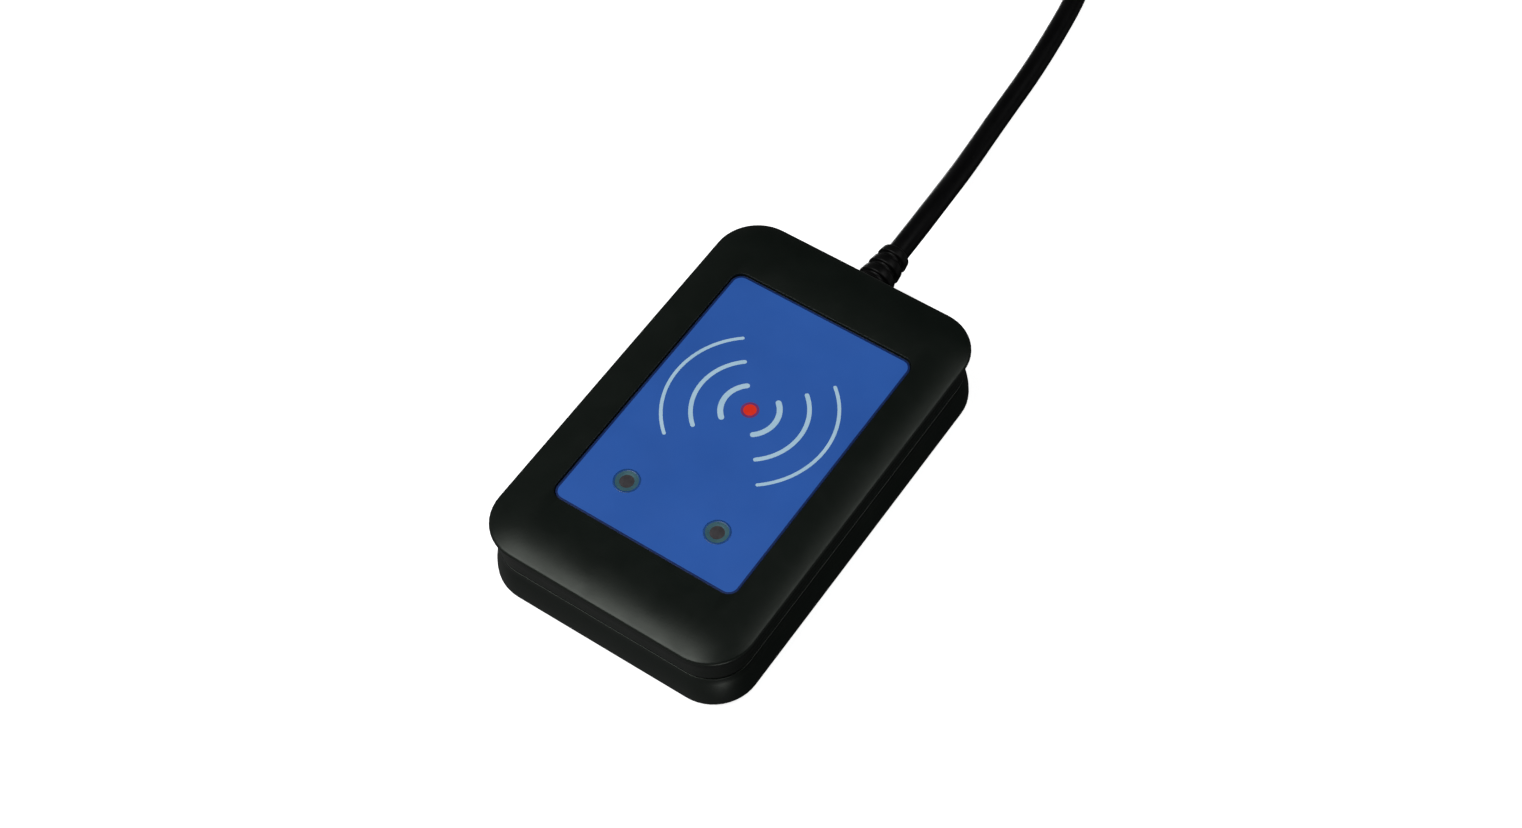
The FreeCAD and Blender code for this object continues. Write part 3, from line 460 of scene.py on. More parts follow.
def banded(name, dark, light, rough, bands, bump, axis, **fixed):
    """A surface with fine bands across one axis, such as threads or windings, and a soft grain."""
    look, shader, add = new_look(name)
    where = add("TexCoord", "Object")
    shape = {"Scale": bands, "Distortion": 0.6, "Detail": 2.0, "Detail Scale": 2.0}
    shape["Vector"] = where
    wave = add("TexWave", "Fac", shape, wave_type="BANDS", bands_direction=axis)
    grain = add("TexNoise", "Fac", {"Scale": 900.0, "Detail": 4.0, "Vector": where})
    height = add("Math", "Value", {0: grain, 1: 0.35, 2: wave}, operation="MULTIPLY_ADD")
    colour = two_colours(add, height, dark, light)
    ends = {"To Min": rough[0], "To Max": rough[1]}
    roughness = add("MapRange", "Result", {**ends, "Value": grain})
    raised = add("Bump", "Normal", {"Distance": bump * MICRON, "Height": height})
    set_inputs(shader, {"Base Color": colour, "Roughness": roughness, "Normal": raised})
    set_inputs(shader, spaced(fixed))
    return look


def circuit_lacquer():
    """Green lacquer over copper: raised tracks in a brick-like grid, and bare fibre grain."""
    look, shader, add = new_look("circuit_lacquer")
    where = add("TexCoord", "Object")
    grid = {
        "Scale": 160.0,
        "Mortar Size": 0.055,
        "Mortar Smooth": 0.3,
        "Brick Width": 0.9,
        "Row Height": 0.28,
        "Color1": (0.008, 0.085, 0.034, 1),
        "Color2": (0.010, 0.110, 0.044, 1),
        "Mortar": (0.030, 0.230, 0.090, 1),
        "Vector": where,
    }
    colour = add("TexBrick", "Color", grid, offset=0.37, squash=1.0)
    grain = add("TexNoise", "Fac", {"Scale": 1500.0, "Vector": where})
    roughness = add("MapRange", "Result", {"To Min": 0.2, "To Max": 0.42, "Value": grain})
    tracks = colour.node.outputs["Fac"]
    raised = add("Bump", "Normal", {"Distance": 40 * MICRON, "Height": tracks})
    set_inputs(shader, {"Base Color": colour, "Roughness": roughness, "Normal": raised})
    return look


# Every look of the reader, by the slot that it belongs to.
LOOKS = {slot: surface(*plain, **more) for slot, *plain, more in SURFACES}
LOOKS["tie_black"] = banded(
    "woven_strap", (0.0035, 0.0035, 0.0037), (0.014, 0.014, 0.0145), (0.75, 0.9),
    bands=420, bump=80, axis="DIAGONAL", Sheen_Weight=0.08,
)
LOOKS["coil_copper"] = banded(
    "wound_copper", (0.26, 0.09, 0.035), (0.72, 0.33, 0.16), (0.22, 0.4),
    bands=900, bump=60, axis="Z", Metallic=0.9,
)
LOOKS["board_green"] = circuit_lacquer()


# ---- housing


def recess_ring(outset, z):
    """The edge of the label's recess, moved outwards by outset."""
    half_w = LABEL_HALF_WIDTH + RECESS_GAP + outset
    half_l = LABEL_HALF_LENGTH + RECESS_GAP + outset
    return rounded_ring(half_w, half_l, LABEL_ROUND + RECESS_GAP + outset, z, LABEL_MIDDLE)


def top_profile():
    """The upper side's outline as (inset, height), from the crown down to the waist."""
    crown_centre = (CROWN_WIDTH, TOP_HIGH.z - CROWN_ROUND)
    reach = CROWN_ROUND - RIM_ROUND
    rim_x = RIM_ROUND
    rim_z = crown_centre[1] + math.sqrt(reach**2 - (crown_centre[0] - rim_x) ** 2)
    lean = math.degrees(math.atan2(rim_z - crown_centre[1], crown_centre[0] - rim_x))
    # A hollow arc, upright at the waist, that touches the rim's round.
    rise = rim_z - WAIST_TOP
    step = WAIST_INSET - rim_x
    hollow = (rise**2 + step**2 - RIM_ROUND**2) / (2 * (RIM_ROUND + step))
    under = math.degrees(math.atan2(rise, hollow - step))
    side = arc_points((0.0, crown_centre[1]), CROWN_ROUND, 88.8, lean, 14)
    crown = [(crown_centre[0] - x, z) for x, z in side]
    rim = [(rim_x - x, rim_z + z) for x, z in arc_points((0, 0), RIM_ROUND, lean, -under, 9)]
    hollow_x = WAIST_INSET - hollow
    flank = arc_points((hollow_x, WAIST_TOP), hollow, under, 0.0, 10)
    return crown + rim[1:] + flank[1:]


def edge_round(inset, z, turn):
    """A quarter round at a cover's joint edge, from its wall to its end face."""
    points = arc_points((0, 0), JOINT_ROUND, 0, 90 * turn, 4)
    return [(inset + JOINT_ROUND - x, z - turn * JOINT_ROUND + y) for x, y in points]


def make_top_cover():
    """The upper shell: its recess, rim and waist, then its bosses, collars and holes."""
    rings = [recess_ring(-0.1, LABEL_LOW.z), recess_ring(-0.02, LABEL_LOW.z + 0.03)]
    rings.append(recess_ring(0.0, LABEL_LOW.z + 0.1))
    for x, z in arc_points((RECESS_EDGE, TOP_HIGH.z - RECESS_EDGE), RECESS_EDGE, 180, 90, 3):
        rings.append(recess_ring(x, z))
    profile = top_profile() + edge_round(WAIST_INSET, JOINT_TOP, -1)
    profile += [(RABBET_INSET, JOINT_TOP), (RABBET_INSET, RABBET_TOP)]
    profile += [(WALL_INSET, RABBET_TOP), (WALL_INSET, CEILING)]
    shell = skin(rings + [housing_ring(inset, z) for inset, z in profile])

    windows = window_places()
    above = CEILING + POST_OVERLAP
    inner = [rod(BOSS_RADIUS, JOINT_TOP, above, p) for p in four_corners(SCREW_PLACE)]
    inner += [rod(COLLAR_RADIUS, COLLAR_LOW, above, p) for p in windows]
    hole_top = JOINT_TOP + BOSS_HOLE_DEPTH
    holes = [
        rod(BOSS_HOLE_RADIUS, JOINT_TOP - 1, hole_top, p) for p in four_corners(SCREW_PLACE)
    ]
    holes += [rod(STEM_RADIUS, COLLAR_LOW - 1, TOP_HIGH.z, p) for p in windows]
    seats = [rod(WINDOW_RADIUS, LABEL_HIGH.z - WINDOW_HEAD, TOP_HIGH.z, p) for p in windows]
    hole, seat = boot_seat()
    cuts = [holes, seats + [hole], [seat]]
    shell = worked(shell, [("UNION", inner)] + [("DIFFERENCE", parts) for parts in cuts])
    piece("top_shell", shell, ["housing_black"], ["top_cover"])


def boot_seat():
    """The round hole in the back wall, and the shallow seat of the strain relief's base."""
    back = HALF_LENGTH
    place = (0.0, 0.0, BOOT_AXIS)
    hole = turned([(BOOT_NECK_RADIUS, back - 5), (BOOT_NECK_RADIUS, back + 1)], place, "Y")
    wall = back - WAIST_INSET
    seat = turned([(BOOT_BASE_RADIUS, wall), (BOOT_BASE_RADIUS, back + 1)], place, "Y")
    return [hole, seat]


def window_places():
    """Where the two windows stand, seen from above."""
    places = []
    for side in ("left", "right"):
        low, high = box_mm(f"status_window_{side}")
        places.append(((low.x + high.x) / 2, (low.y + high.y) / 2))
    return places


def bottom_profile():
    """The lower side's outline as (inset, height), from the joint down to the underside."""
    rise = WAIST_LOW - BULGE_HEIGHT
    radius = (rise**2 + WAIST_INSET**2) / (2 * WAIST_INSET)
    lean = math.degrees(math.asin(rise / radius))
    centre = (radius, BULGE_HEIGHT)
    wall = [(centre[0] - x, BULGE_HEIGHT + y) for x, y in arc_points((0, 0), radius, lean, 0, 8)]
    low = BULGE_HEIGHT - BASE_LOW.z
    foot = [(low - x, BULGE_HEIGHT + y) for x, y in arc_points((0, 0), low, 0, -90, 8)]
    return wall + foot[1:]


def make_bottom_cover():
    """The lower shell: its wall and foot, then its bosses, standoffs, rib and holes."""
    profile = [(WALL_INSET, FLOOR_TOP), (WALL_INSET, BASE_HIGH.z)]
    profile += [(LIP_INSET, BASE_HIGH.z), (LIP_INSET, JOINT_LOW)]
    profile += edge_round(WAIST_INSET, JOINT_LOW, 1)[::-1] + bottom_profile()
    shell = skin([housing_ring(inset, z) for inset, z in profile])

    screws, stands = four_corners(SCREW_PLACE), four_corners(STANDOFF_PLACE)
    below = FLOOR_TOP - POST_OVERLAP
    inner = [rod(BOSS_RADIUS, below, JOINT_TOP, p) for p in screws]
    inner += [rod(STANDOFF_RADIUS, below, BOARD_BASE, p) for p in stands]
    rib_length = RIB_END - RIB_START
    rib_middle = (0, (RIB_START + RIB_END) / 2, (BOOT_AXIS + below) / 2)
    inner.append(block((RIB_WIDTH, rib_length, BOOT_AXIS - below), rib_middle))
    under = BASE_LOW.z - 1
    holes = [rod(SCREW_HOLE_RADIUS, COUNTERBORE_TOP - 1, JOINT_TOP + 1, p) for p in screws]
    deep = BOARD_BASE - STANDOFF_HOLE_DEPTH
    holes += [rod(STANDOFF_HOLE_RADIUS, deep, BOARD_BASE + 1, p) for p in stands]
    bore = CORD_DIAMETER / 2
    saddle = turned([(bore, RIB_START - 1.0), (bore, RIB_END + 0.6)], (0, 0, BOOT_AXIS), "Y")
    bores = [rod(COUNTERBORE_RADIUS, under, COUNTERBORE_TOP, p, 48) for p in screws]
    bores += [rod(FOOT_RADIUS, under, FOOT_RECESS_TOP, p, 64) for p in four_corners(FOOT_PLACE)]
    hole, seat = boot_seat()
    cuts = [holes + [saddle], bores + [hole], [seat]]
    shell = worked(shell, [("UNION", inner)] + [("DIFFERENCE", parts) for parts in cuts])
    piece("bottom_shell", shell, ["housing_black"], ["bottom_cover"])


# ---- label and its windows

DOT_PLACE = (0.0, 5.0)
DOT_RADIUS = 1.25
DOT_RIM = 0.5
PRINT_LOW, PRINT_HIGH = LABEL_HIGH.z - 0.01, LABEL_HIGH.z + 0.02
# Radius, stroke and half the spread in degrees of each pair of printed arcs.
WAVES = ((5.5, 1.1, 50.0), (11.0, 0.85, 50.5), (16.5, 0.68, 51.0))


def make_label():
    """The blue film, with a band of painted shade round its edge and a hole over each window."""
    middle, half_w, half_l = LABEL_MIDDLE, LABEL_HALF_WIDTH, LABEL_HALF_LENGTH
    edge, border = 0.08, 0.45       # the film's rounded edge, and the band painted dark along it as shade from the recess gap
    rings = [rounded_ring(half_w, half_l, LABEL_ROUND, LABEL_LOW.z, middle)]
    for x, z in arc_points((edge, LABEL_HIGH.z - edge), edge, 180, 90, 3):
        rings.append(rounded_ring(half_w - x, half_l - x, LABEL_ROUND - x, z, middle))
    inside = (half_w - border, half_l - border, LABEL_ROUND - border)
    rings.append(rounded_ring(*inside, LABEL_HIGH.z, middle))
    places = window_places()
    holes = [rod(WINDOW_RADIUS, LABEL_LOW.z - 1, LABEL_HIGH.z + 1, p, 64) for p in places]
    sheet = worked(skin(rings), [("DIFFERENCE", holes)])
    # Faces in the band at the film's edge take the navy painted shade, the rest the blue print.
    for face in sheet.faces:
        point = face.calc_center_median()
        beyond_x = abs(point.x) - (half_w - LABEL_ROUND)
        beyond_y = abs(point.y - middle) - (half_l - LABEL_ROUND)
        corner = math.hypot(max(beyond_x, 0.0), max(beyond_y, 0.0))
        outside = corner + min(max(beyond_x, beyond_y), 0.0) - LABEL_ROUND
        face.material_index = 1 if outside > -border else 0
    paints = ["label_blue", "label_border"]
    piece("label_film", sheet, paints, ["front_label"])


def printed_arc(radius, stroke, spread, facing):
    """A thin raised arc of ink about the dot, round at both ends."""
    half = stroke / 2
    first, last = facing - spread, facing + spread
    tips = arc_points((0, 0), radius, first, last, 1)
    caps = [arc_points(tips[0], half, first + 180, first + 360, 8)]
    caps.append(arc_points(tips[1], half, last, last + 180, 8))
    outer = arc_points((0, 0), radius + half, first, last, 28)
    inner = arc_points((0, 0), radius - half, last, first, 28)
    edge = outer[1:-1] + caps[1] + inner[1:-1] + caps[0]
    x, y = DOT_PLACE
    return skin([[(x + p[0], y + p[1], z) for p in edge] for z in (PRINT_LOW, PRINT_HIGH)])


def make_print():
    """What is printed on the label: three pairs of arcs about a dot."""
    arcs = [printed_arc(*wave, facing) for wave in WAVES for facing in (0.0, 180.0)]
    piece("label_waves", merged(arcs), ["label_pale_print"], [])
    x, y = DOT_PLACE
    whole, high = DOT_RADIUS + DOT_RIM, PRINT_HIGH
    profile = [(whole, PRINT_LOW), (whole, high), (DOT_RADIUS, high), (DOT_RADIUS, high + 0.01)]
    dot = turned(profile, (x, y, 0.0), steps=64)
    dot.faces.ensure_lookup_table()
    for face in dot.faces:
        out = (face.calc_center_median() - Vector((x, y, 0))).xy.length
        face.material_index = 1 if out > DOT_RADIUS * 1.001 else 0
    paints = ["label_red_print", "red_print_rim"]
    piece("label_dot", dot, paints, [])


def make_windows():
    """Each window is one turned light guide: an outer lip, a sloping ring and a low domed core. The
    lip's darker blue is partly its own tint and partly painted shade of the gap round the window.
    """
    top = LABEL_HIGH.z
    edge = WINDOW_RADIUS - 0.01
    ring_out, ring_in = 2.2, 1.4
    for side, (x, y) in zip(("left", "right"), window_places()):
        low, _ = box_mm(f"status_window_{side}")
        stem = STEM_RADIUS - 0.02
        profile = [(stem - 0.15, low.z), (stem, low.z + 0.15), (stem, top - WINDOW_HEAD)]
        profile += [(edge, top - WINDOW_HEAD), (edge, top - 0.04), (edge - 0.04, top)]
        profile += [(ring_out + 0.05, top - 0.01), (ring_out, top - 0.05)]
        profile += [(ring_out - 0.1, top - 0.05), (ring_in + 0.1, top - 0.12)]
        # The core is a low dome: share of its radius, and depth below the label's face.
        dome = ((1.0, 0.16), (0.85, 0.14), (0.6, 0.11), (0.3, 0.09), (0.1, 0.085))
        profile += [(ring_in * share, top - deep) for share, deep in dome]
        guide = turned(profile, (x, y, 0.0), steps=64)
        for face in guide.faces:
            middle = face.calc_center_median()
            out = (middle - Vector((x, y, 0))).xy.length
            if middle.z > top - 0.3 and out < ring_in * 1.001:
                face.material_index = 1
            elif middle.z > top - 0.3 and out > ring_out:
                face.material_index = 2
        finishes = ["window_plastic", "window_core", "window_edge"]
        nodes = [f"status_window_{side}"]
        piece(f"window_{side}", guide, finishes, nodes, sharp=50)


# ---- underside fittings


def make_feet():
    """Stick-on rubber feet with a rounded edge and a shallow dish."""
    low, high = box_mm("rubber_feet")
    radius, edge = FOOT_RADIUS - 0.05, 0.3
    profile = [(radius, high.z), (radius, low.z + edge)]
    profile += arc_points((radius - edge, low.z + edge), edge, 0, -90, 5)[1:]
    profile += [(radius * 0.72, low.z), (radius * 0.66, low.z + 0.06), (radius * 0.3, low.z + 0.1)]
    feet = [turned(profile, (x, y, 0.0), steps=64) for x, y in four_corners(FOOT_PLACE)]
    piece("feet", merged(feet), ["feet_rubber"], ["rubber_feet"])


def make_plate():
    """The rating plate, left blank, with a pressed border line."""
    low, high = box_mm("rating_plate")
    half_w, half_l = high.x, high.y
    corner, border, groove = 1.5, 1.2, 0.25
    rings = [rounded_ring(half_w, half_l, corner, high.z, steps=6, sides=(2, 2))]
    for inset, z in (
        (0.0, low.z + 0.03),
        (0.04, low.z),
        (border, low.z),
        (border + 0.05, low.z + 0.06),
        (border + groove, low.z + 0.06),
        (border + groove + 0.05, low.z),
    ):
        radius = max(corner - inset, 0.4)
        rings.append(rounded_ring(half_w - inset, half_l - inset, radius, z, steps=6, sides=(2, 2)))
    piece("plate", skin(rings), ["plate_silver"], ["rating_plate"])


def cross_recess(size, depth):
    """A cross-shaped tool mark that narrows with depth, its mouth at height 0."""
    bars = []
    for turn in (0, 90):
        bar = block((size, size * 0.24, depth * 2), (0, 0, 0))
        for vertex in bar.verts:
            if vertex.co.z > 0:
                vertex.co.x *= 0.45
                vertex.co.y *= 0.7
        bar.transform(Matrix.Rotation(math.radians(turn), 4, "Z"))
        bars.append(bar)
    return bars


def threaded(thread, root, low, high, pitch):
    """Profile of a shank whose threads are turned as close rings, with a short point."""
    profile = [(root, low)]
    count = int((high - low - pitch) / pitch)
    for number in range(count):
        z = low + pitch * (number + 0.25)
        profile += [(root, z), (thread, z + pitch * 0.35), (thread, z + pitch * 0.45)]
        profile.append((root, z + pitch * 0.8))
    profile += [(root, high - pitch), (root * 0.35, high)]
    return profile


def screw(head, head_height, thread, length):
    """A pan-head screw standing on its head, at the origin, its point upwards."""
    profile = [(head * 0.2, 0.0), (head * 0.34, head_height * 0.05)]
    profile += [(head * 0.44, head_height * 0.2), (head * 0.49, head_height * 0.42)]
    profile += [(head * 0.5, head_height * 0.7), (head * 0.49, head_height)]
    profile += threaded(thread / 2, thread * 0.4, head_height, head_height + length, 0.8)
    body = turned(profile, steps=32)
    for bar in cross_recess(head * 0.62, head_height * 0.55):
        body = worked(body, [("DIFFERENCE", [bar])])
    return body


# Piece, CAD node, places, head width, head height, thread, whether it points down, and how far
# the first is turned and each next one further, in degrees.
SCREWS = (
    ("screws_case", "case_screws", SCREW_PLACE, 4.5, 1.7, 2.1, False, 17, 53),
    ("screws_board", "board_screws", STANDOFF_PLACE, 3.2, 1.2, 1.55, True, 31, 41),
)


def make_screws():
    """The four case screws, driven from below, and the four that hold the board."""
    for name, node, places, head, head_height, thread, down, first, step in SCREWS:
        low, high = box_mm(node)
        screws = []
        for number, (x, y) in enumerate(four_corners(places)):
            one = screw(head, head_height, thread, high.z - low.z - head_height)
            if down:
                one.transform(Matrix.Rotation(math.pi, 4, "X"))
            one.transform(Matrix.Rotation(math.radians(first + step * number), 4, "Z"))
            one.transform(Matrix.Translation((x, y, high.z if down else low.z)))
            screws.append(one)
        piece(name, merged(screws), ["screw_steel"], [node])


# ---- strain relief and lead


def make_strain_relief():
    """A tapered boot with three grooves, its neck and flange held by the covers."""
    low, high = box_mm("strain_relief")
    bore = CORD_DIAMETER / 2
    wall = HALF_LENGTH - WAIST_INSET
    inner_wall = HALF_LENGTH - WALL_INSET
    tip = 3.05
    flange = 4.6
    slope = (tip - BOOT_BASE_RADIUS) / (high.y - wall)

    def skin_radius(y):
        return BOOT_BASE_RADIUS + slope * (y - wall)

    profile = [(bore, low.y), (flange - 0.2, low.y), (flange, low.y + 0.2), (flange, inner_wall)]
    profile += [(BOOT_NECK_RADIUS, inner_wall), (BOOT_NECK_RADIUS, wall)]
    profile += [(BOOT_BASE_RADIUS - 0.25, wall), (BOOT_BASE_RADIUS, wall + 0.25)]
    groove_width, groove_depth, edge = 1.1, 0.75, 0.28
    for number in range(3):
        start = GROOVE_START + number * GROOVE_SPACING
        end = start + groove_width
        outside, inside = skin_radius(start), skin_radius(end)
        profile += arc_points((outside - edge, start - edge), edge, 0, 90, 4)
        profile += [(outside - groove_depth + 0.1, start), (outside - groove_depth, start + 0.12)]
        profile += [(inside - groove_depth, end - 0.12), (inside - groove_depth + 0.1, end)]
        profile += arc_points((inside - edge, end + edge), edge, -90, 0, 4)
    round_tip = 0.55
    profile += arc_points((tip - round_tip, high.y - round_tip), round_tip, 0, 90, 6)
    profile.append((bore, high.y))
    boot = turned(profile, (0, 0, BOOT_AXIS), "Y", steps=64, closed=True)
    return piece("boot", boot, ["boot_pvc"], ["strain_relief"], sharp=50)


def between_stations(travel):
    """Radius and height of the lead's line in its coil, after a travel in degrees."""
    for (start, radius_0, z_0), (end, radius_1, z_1) in zip(COIL_STATIONS, COIL_STATIONS[1:]):
        if travel <= end:
            share = (travel - start) / (end - start)
            return radius_0 + (radius_1 - radius_0) * share, z_0 + (z_1 - z_0) * share
    return COIL_STATIONS[-1][1:]


def coil_route():
    """Control points of the lead's turns, clockwise, four layers of two turns."""
    whole = COIL_STATIONS[-1][0]
    count = round(whole / 360 * COIL_STEPS)
    step = whole / count
    outset = 1 / math.cos(math.radians(step / 2))
    points = []
    for number in range(count):
        travel = step * (number + 0.5)
        radius, z = between_stations(travel)
        turn = math.radians(COIL_START - travel)
        x = COIL_CENTRE[0] + radius * outset * math.cos(turn)
        y = COIL_CENTRE[1] + radius * outset * math.sin(turn)
        points.append((x, y, z))
    return points


def make_lead():
    """The whole lead as one curve, from inside the housing through its coil to its plug."""
    route = LEAD_ROUTE + coil_route() + TAIL_ROUTE
    curve = bpy.data.curves.new("lead", "CURVE")
    curve.dimensions = "3D"
    curve.bevel_depth = CORD_DIAMETER / 2 * MM
    curve.bevel_resolution = 6
    curve.resolution_u = 8
    curve.use_fill_caps = True
    spline = curve.splines.new("NURBS")
    spline.points.add(len(route) - 1)
    for point, (x, y, z) in zip(spline.points, route):
        point.co = (x * MM, y * MM, z * MM, 1.0)
    spline.order_u = 3
    spline.use_endpoint_u = True
    spline.use_smooth = True
    lead = bpy.data.objects.new("lead", curve)
    bpy.context.scene.collection.objects.link(lead)
    lead.data.materials.append(LOOKS["cable_pvc"])
    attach(lead, "root")
    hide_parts("usb_cable", "cable_coil", "usb_cable_end")


def make_tie():
    """A woven strap round the coil's turns, with its rounded tail laid over itself."""
    coil_low, coil_high = box_mm("cable_coil")
    outer = (coil_high.x - coil_low.x) / 2
    inner = COIL_EYE_RADIUS
    middle_x = (outer + inner) / 2
    middle_z = (coil_low.z + coil_high.z) / 2
    slack, thickness, width, round_in, drop = 0.2, 0.7, 6.0, 2.3, 1.2
    half_x = (outer - inner) / 2 + slack + thickness / 2
    half_z = (coil_high.z - coil_low.z) / 2 + slack * 0.4 + thickness / 2

    def strap(path, half_t, half_w, closed):
        """A flat band along a path in its own upright plane."""
        count = len(path)
        rings = []
        for number, (x, z) in enumerate(path):
            before = path[(number - 1) % count] if closed or number else path[0]
            after = path[(number + 1) % count] if closed or number < count - 1 else path[-1]
            way = Vector((after[0] - before[0], after[1] - before[1])).normalized()
            out = Vector((way.y, -way.x))
            edge, face = half_t * 0.55, half_w - 0.2
            section = [(-half_w, -edge), (-face, -half_t), (face, -half_t), (half_w, -edge)]
            section += [(-across, -depth) for across, depth in section]
            rings.append([(x + out.x * deep, wide, z + out.y * deep) for wide, deep in section])
        return skin(rings, closed)

    outline = rounded_ring(half_x, half_z, round_in, 0.0, steps=8, sides=(6, 8))
    loop = [(x, z) for x, z, _ in outline]
    band = strap(loop, thickness / 2, width / 2, True)
    lay = thickness * 0.95
    tail_x, tail_z = half_x + lay, half_z + lay
    corner = arc_points((tail_x - round_in, tail_z - round_in), round_in, 90, 0, 8)
    tail = [(-tail_x * 0.55 + n * (tail_x * 1.55 - round_in) / 5, tail_z) for n in range(5)]
    tail += corner + [(tail_x, tail_z - round_in - drop * n) for n in range(1, 5)]
    flap = strap(tail, thickness / 2, width / 2 - 0.15, False)
    for vertex in flap.verts:
        if abs(vertex.co.z - tail[-1][1]) < 0.5:
            vertex.co.y *= 0.7      # the tail's end is narrower
    tie = merged([band, flap])
    tie.transform(Matrix.Translation((middle_x, 0, middle_z)))
    tie.transform(Matrix.Rotation(math.radians(TIE_TURN), 4, "Z"))
    tie.transform(Matrix.Translation((COIL_CENTRE[0], COIL_CENTRE[1], 0)))
    return piece("coil_strap", tie, ["tie_black"], ["cable_tie"], sharp=50)


# ---- plug


def plug_section(half_w, half_t, radius, y, centre):
    """A rounded rectangle across the plug at a distance along it."""
    ring = rounded_ring(half_w, half_t, min(radius, half_t - 0.01), 0.0, steps=8, sides=(4, 2))
    return [(centre[0] + x, y, centre[1] + z) for x, z, _ in ring]


GRIP_GROOVES = (4.5, 6.2, 7.9, 9.6)
GRIP_GROOVE_DEPTH = 0.38
GRIP_ROUND = 1.2
CONTACTS = ((-3.5, 8.4), (-1.0, 7.4), (1.0, 7.4), (3.5, 8.4))   # place across, and length


def make_plug():
    """The type-A plug: ribbed boot, grip, folded metal shell, tongue and contacts."""
    low, high = box_mm("usb_plug_grip")
    centre = ((low.x + high.x) / 2, (low.z + high.z) / 2)
    half_w, half_t = (high.x - low.x) / 2, (high.z - low.z) / 2
    length = high.y - low.y
    pieces = []

    # Distance along the grip, and how deep its grooves are there.
    stations = [(along, 0.0) for along in (0.0, 0.15, 0.5, 1.1, 1.8)]
    for start in GRIP_GROOVES:
        stations += [(start, GRIP_GROOVE_DEPTH), (start + 0.5, GRIP_GROOVE_DEPTH)]
        stations.append((start + 1.0, 0.0))
    ends = (12.0, length - 2.6, length - 1.5, length - 0.7, length - 0.2, length)
    stations += [(along, 0.0) for along in ends]
    rings = []
    for along, groove in stations:
        near = max(0.0, GRIP_ROUND - along)
        far = max(0.0, 2.4 - (length - along))
        rounded = GRIP_ROUND - math.sqrt(max(GRIP_ROUND**2 - near**2, 0.0))
        inset = rounded + 0.16 * far**2
        half = (half_w - inset - groove, half_t - inset * 0.8)
        rings.append(plug_section(*half, 1.8, low.y + along, centre))
    # A shallow panel is sunk in the grip's upper face.
    panel = block((8.4, 7.6, 1.0), (centre[0], low.y + 5.2, high.z + 0.28), 0.4, 3)
    grip = worked(skin(rings), [("DIFFERENCE", [panel])])
    pieces.append(piece("plug_grip", grip, ["plug_grip"], ["usb_plug_grip"]))

    low, high = box_mm("usb_plug_boot")
    bore = CORD_DIAMETER / 2
    profile = [(bore * 0.9, low.y), (bore + 1.2, low.y), (bore + 1.15, low.y + 1.7)]
    for rib in range(2):
        base = low.y + 2.0 + 3.0 * rib
        outer = bore + 1.05 - 0.2 * rib
        profile += [(outer - 0.55, base), (outer - 0.6, base + 0.9)]
        profile += [(outer - 0.1, base + 1.0), (outer, base + 1.2), (outer - 0.05, base + 2.6)]
        profile.append((outer - 0.15, base + 2.8))
    profile += [(bore + 0.35, high.y - 0.05), (bore + 0.1, high.y), (bore * 0.9, high.y)]
    boot = turned(profile, (centre[0], 0, centre[1]), "Y", steps=48, closed=True)
    nodes = ["usb_plug_boot"]
    pieces.append(piece("plug_boot", boot, ["plug_grip"], nodes, sharp=50))

    low, high = box_mm("usb_plug_shell")
    half_w, half_t, wall, fold = (high.x - low.x) / 2, (high.z - low.z) / 2, 0.3, 0.55
    rings = []
    for inset, y in (
        (wall, high.y),
        (0.0, high.y),
        (0.0, low.y + 0.25),
        (0.06, low.y + 0.08),
        (0.15, low.y),
        (0.24, low.y + 0.08),
        (wall, low.y + 0.25),
    ):
        rings.append(plug_section(half_w - inset, half_t - inset, fold - inset * 0.8, y, centre))
    # Two square holes in each wide face, and the seam where the sheet is folded together.
    holes = [
        block((2.4, 2.2, 1.2), (centre[0] + across, high.y - 5.9, face), 0.12, 2)
        for across in (-3.2, 3.2)
        for face in (low.z, high.z)
    ]
    seam = block((0.12, high.y - low.y + 2, 0.8), (centre[0] - 1.6, (low.y + high.y) / 2, low.z))
    shell = worked(skin(rings, closed=True), [("DIFFERENCE", holes + [seam])])
    pieces.append(piece("plug_shell", shell, ["plug_metal"], ["usb_plug_shell"]))

    low, high = box_mm("usb_plug_tongue")
    tongue = block(high - low, (low + high) / 2, 0.15, 3)
    pieces.append(piece("plug_tongue", tongue, ["plug_tongue"], ["usb_plug_tongue"]))
    low, high = box_mm("usb_plug_contacts")
    strips = []
    for across, reach in CONTACTS:
        middle = (centre[0] + across, high.y - reach / 2, (low.z + high.z) / 2)
        strips.append(block((1.0, reach, high.z - low.z + 0.02), middle, 0.04, 2))
    strips, nodes = merged(strips), ["usb_plug_contacts"]
    pieces.append(piece("plug_contacts", strips, ["contact_gold"], nodes))
    return pieces


# ---- inner CAD nodes


INNER_FINISHES = {
    "board_green": ("circuit_board",),
    "coil_copper": ("aerial_coil",),
    "chip_black": ("microcontroller", "reader_chip", "voltage_regulator"),
    "crystal_can": ("quartz_crystal",),
    "buzzer_black": ("buzzer",),
    "lamp_white": ("status_lamp_left", "status_lamp_right"),
    "capacitor_tan": ("capacitors",),
    "resistor_dark": ("resistors",),
    "connector_cream": ("board_socket", "wire_plug"),
    "wire_red": ("wire_red",),
    "wire_white": ("wire_white",),
    "wire_green": ("wire_green",),
    "wire_black": ("wire_black",),
}


def dress_inside():
    """Finish of each CAD node that stays as it is."""
    for finish, names in INNER_FINISHES.items():
        for name in names:
            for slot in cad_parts[name].material_slots:
                slot.material = LOOKS[finish]


# ---- camera, floor and the light


CAMERA_AZIMUTH, CAMERA_ELEVATION, CAMERA_ROLL = 36.98, 55.68, -3.33
CAMERA_PLACE = (0.15695, -0.20012, 0.39434)
CAMERA_LENS = 58.52


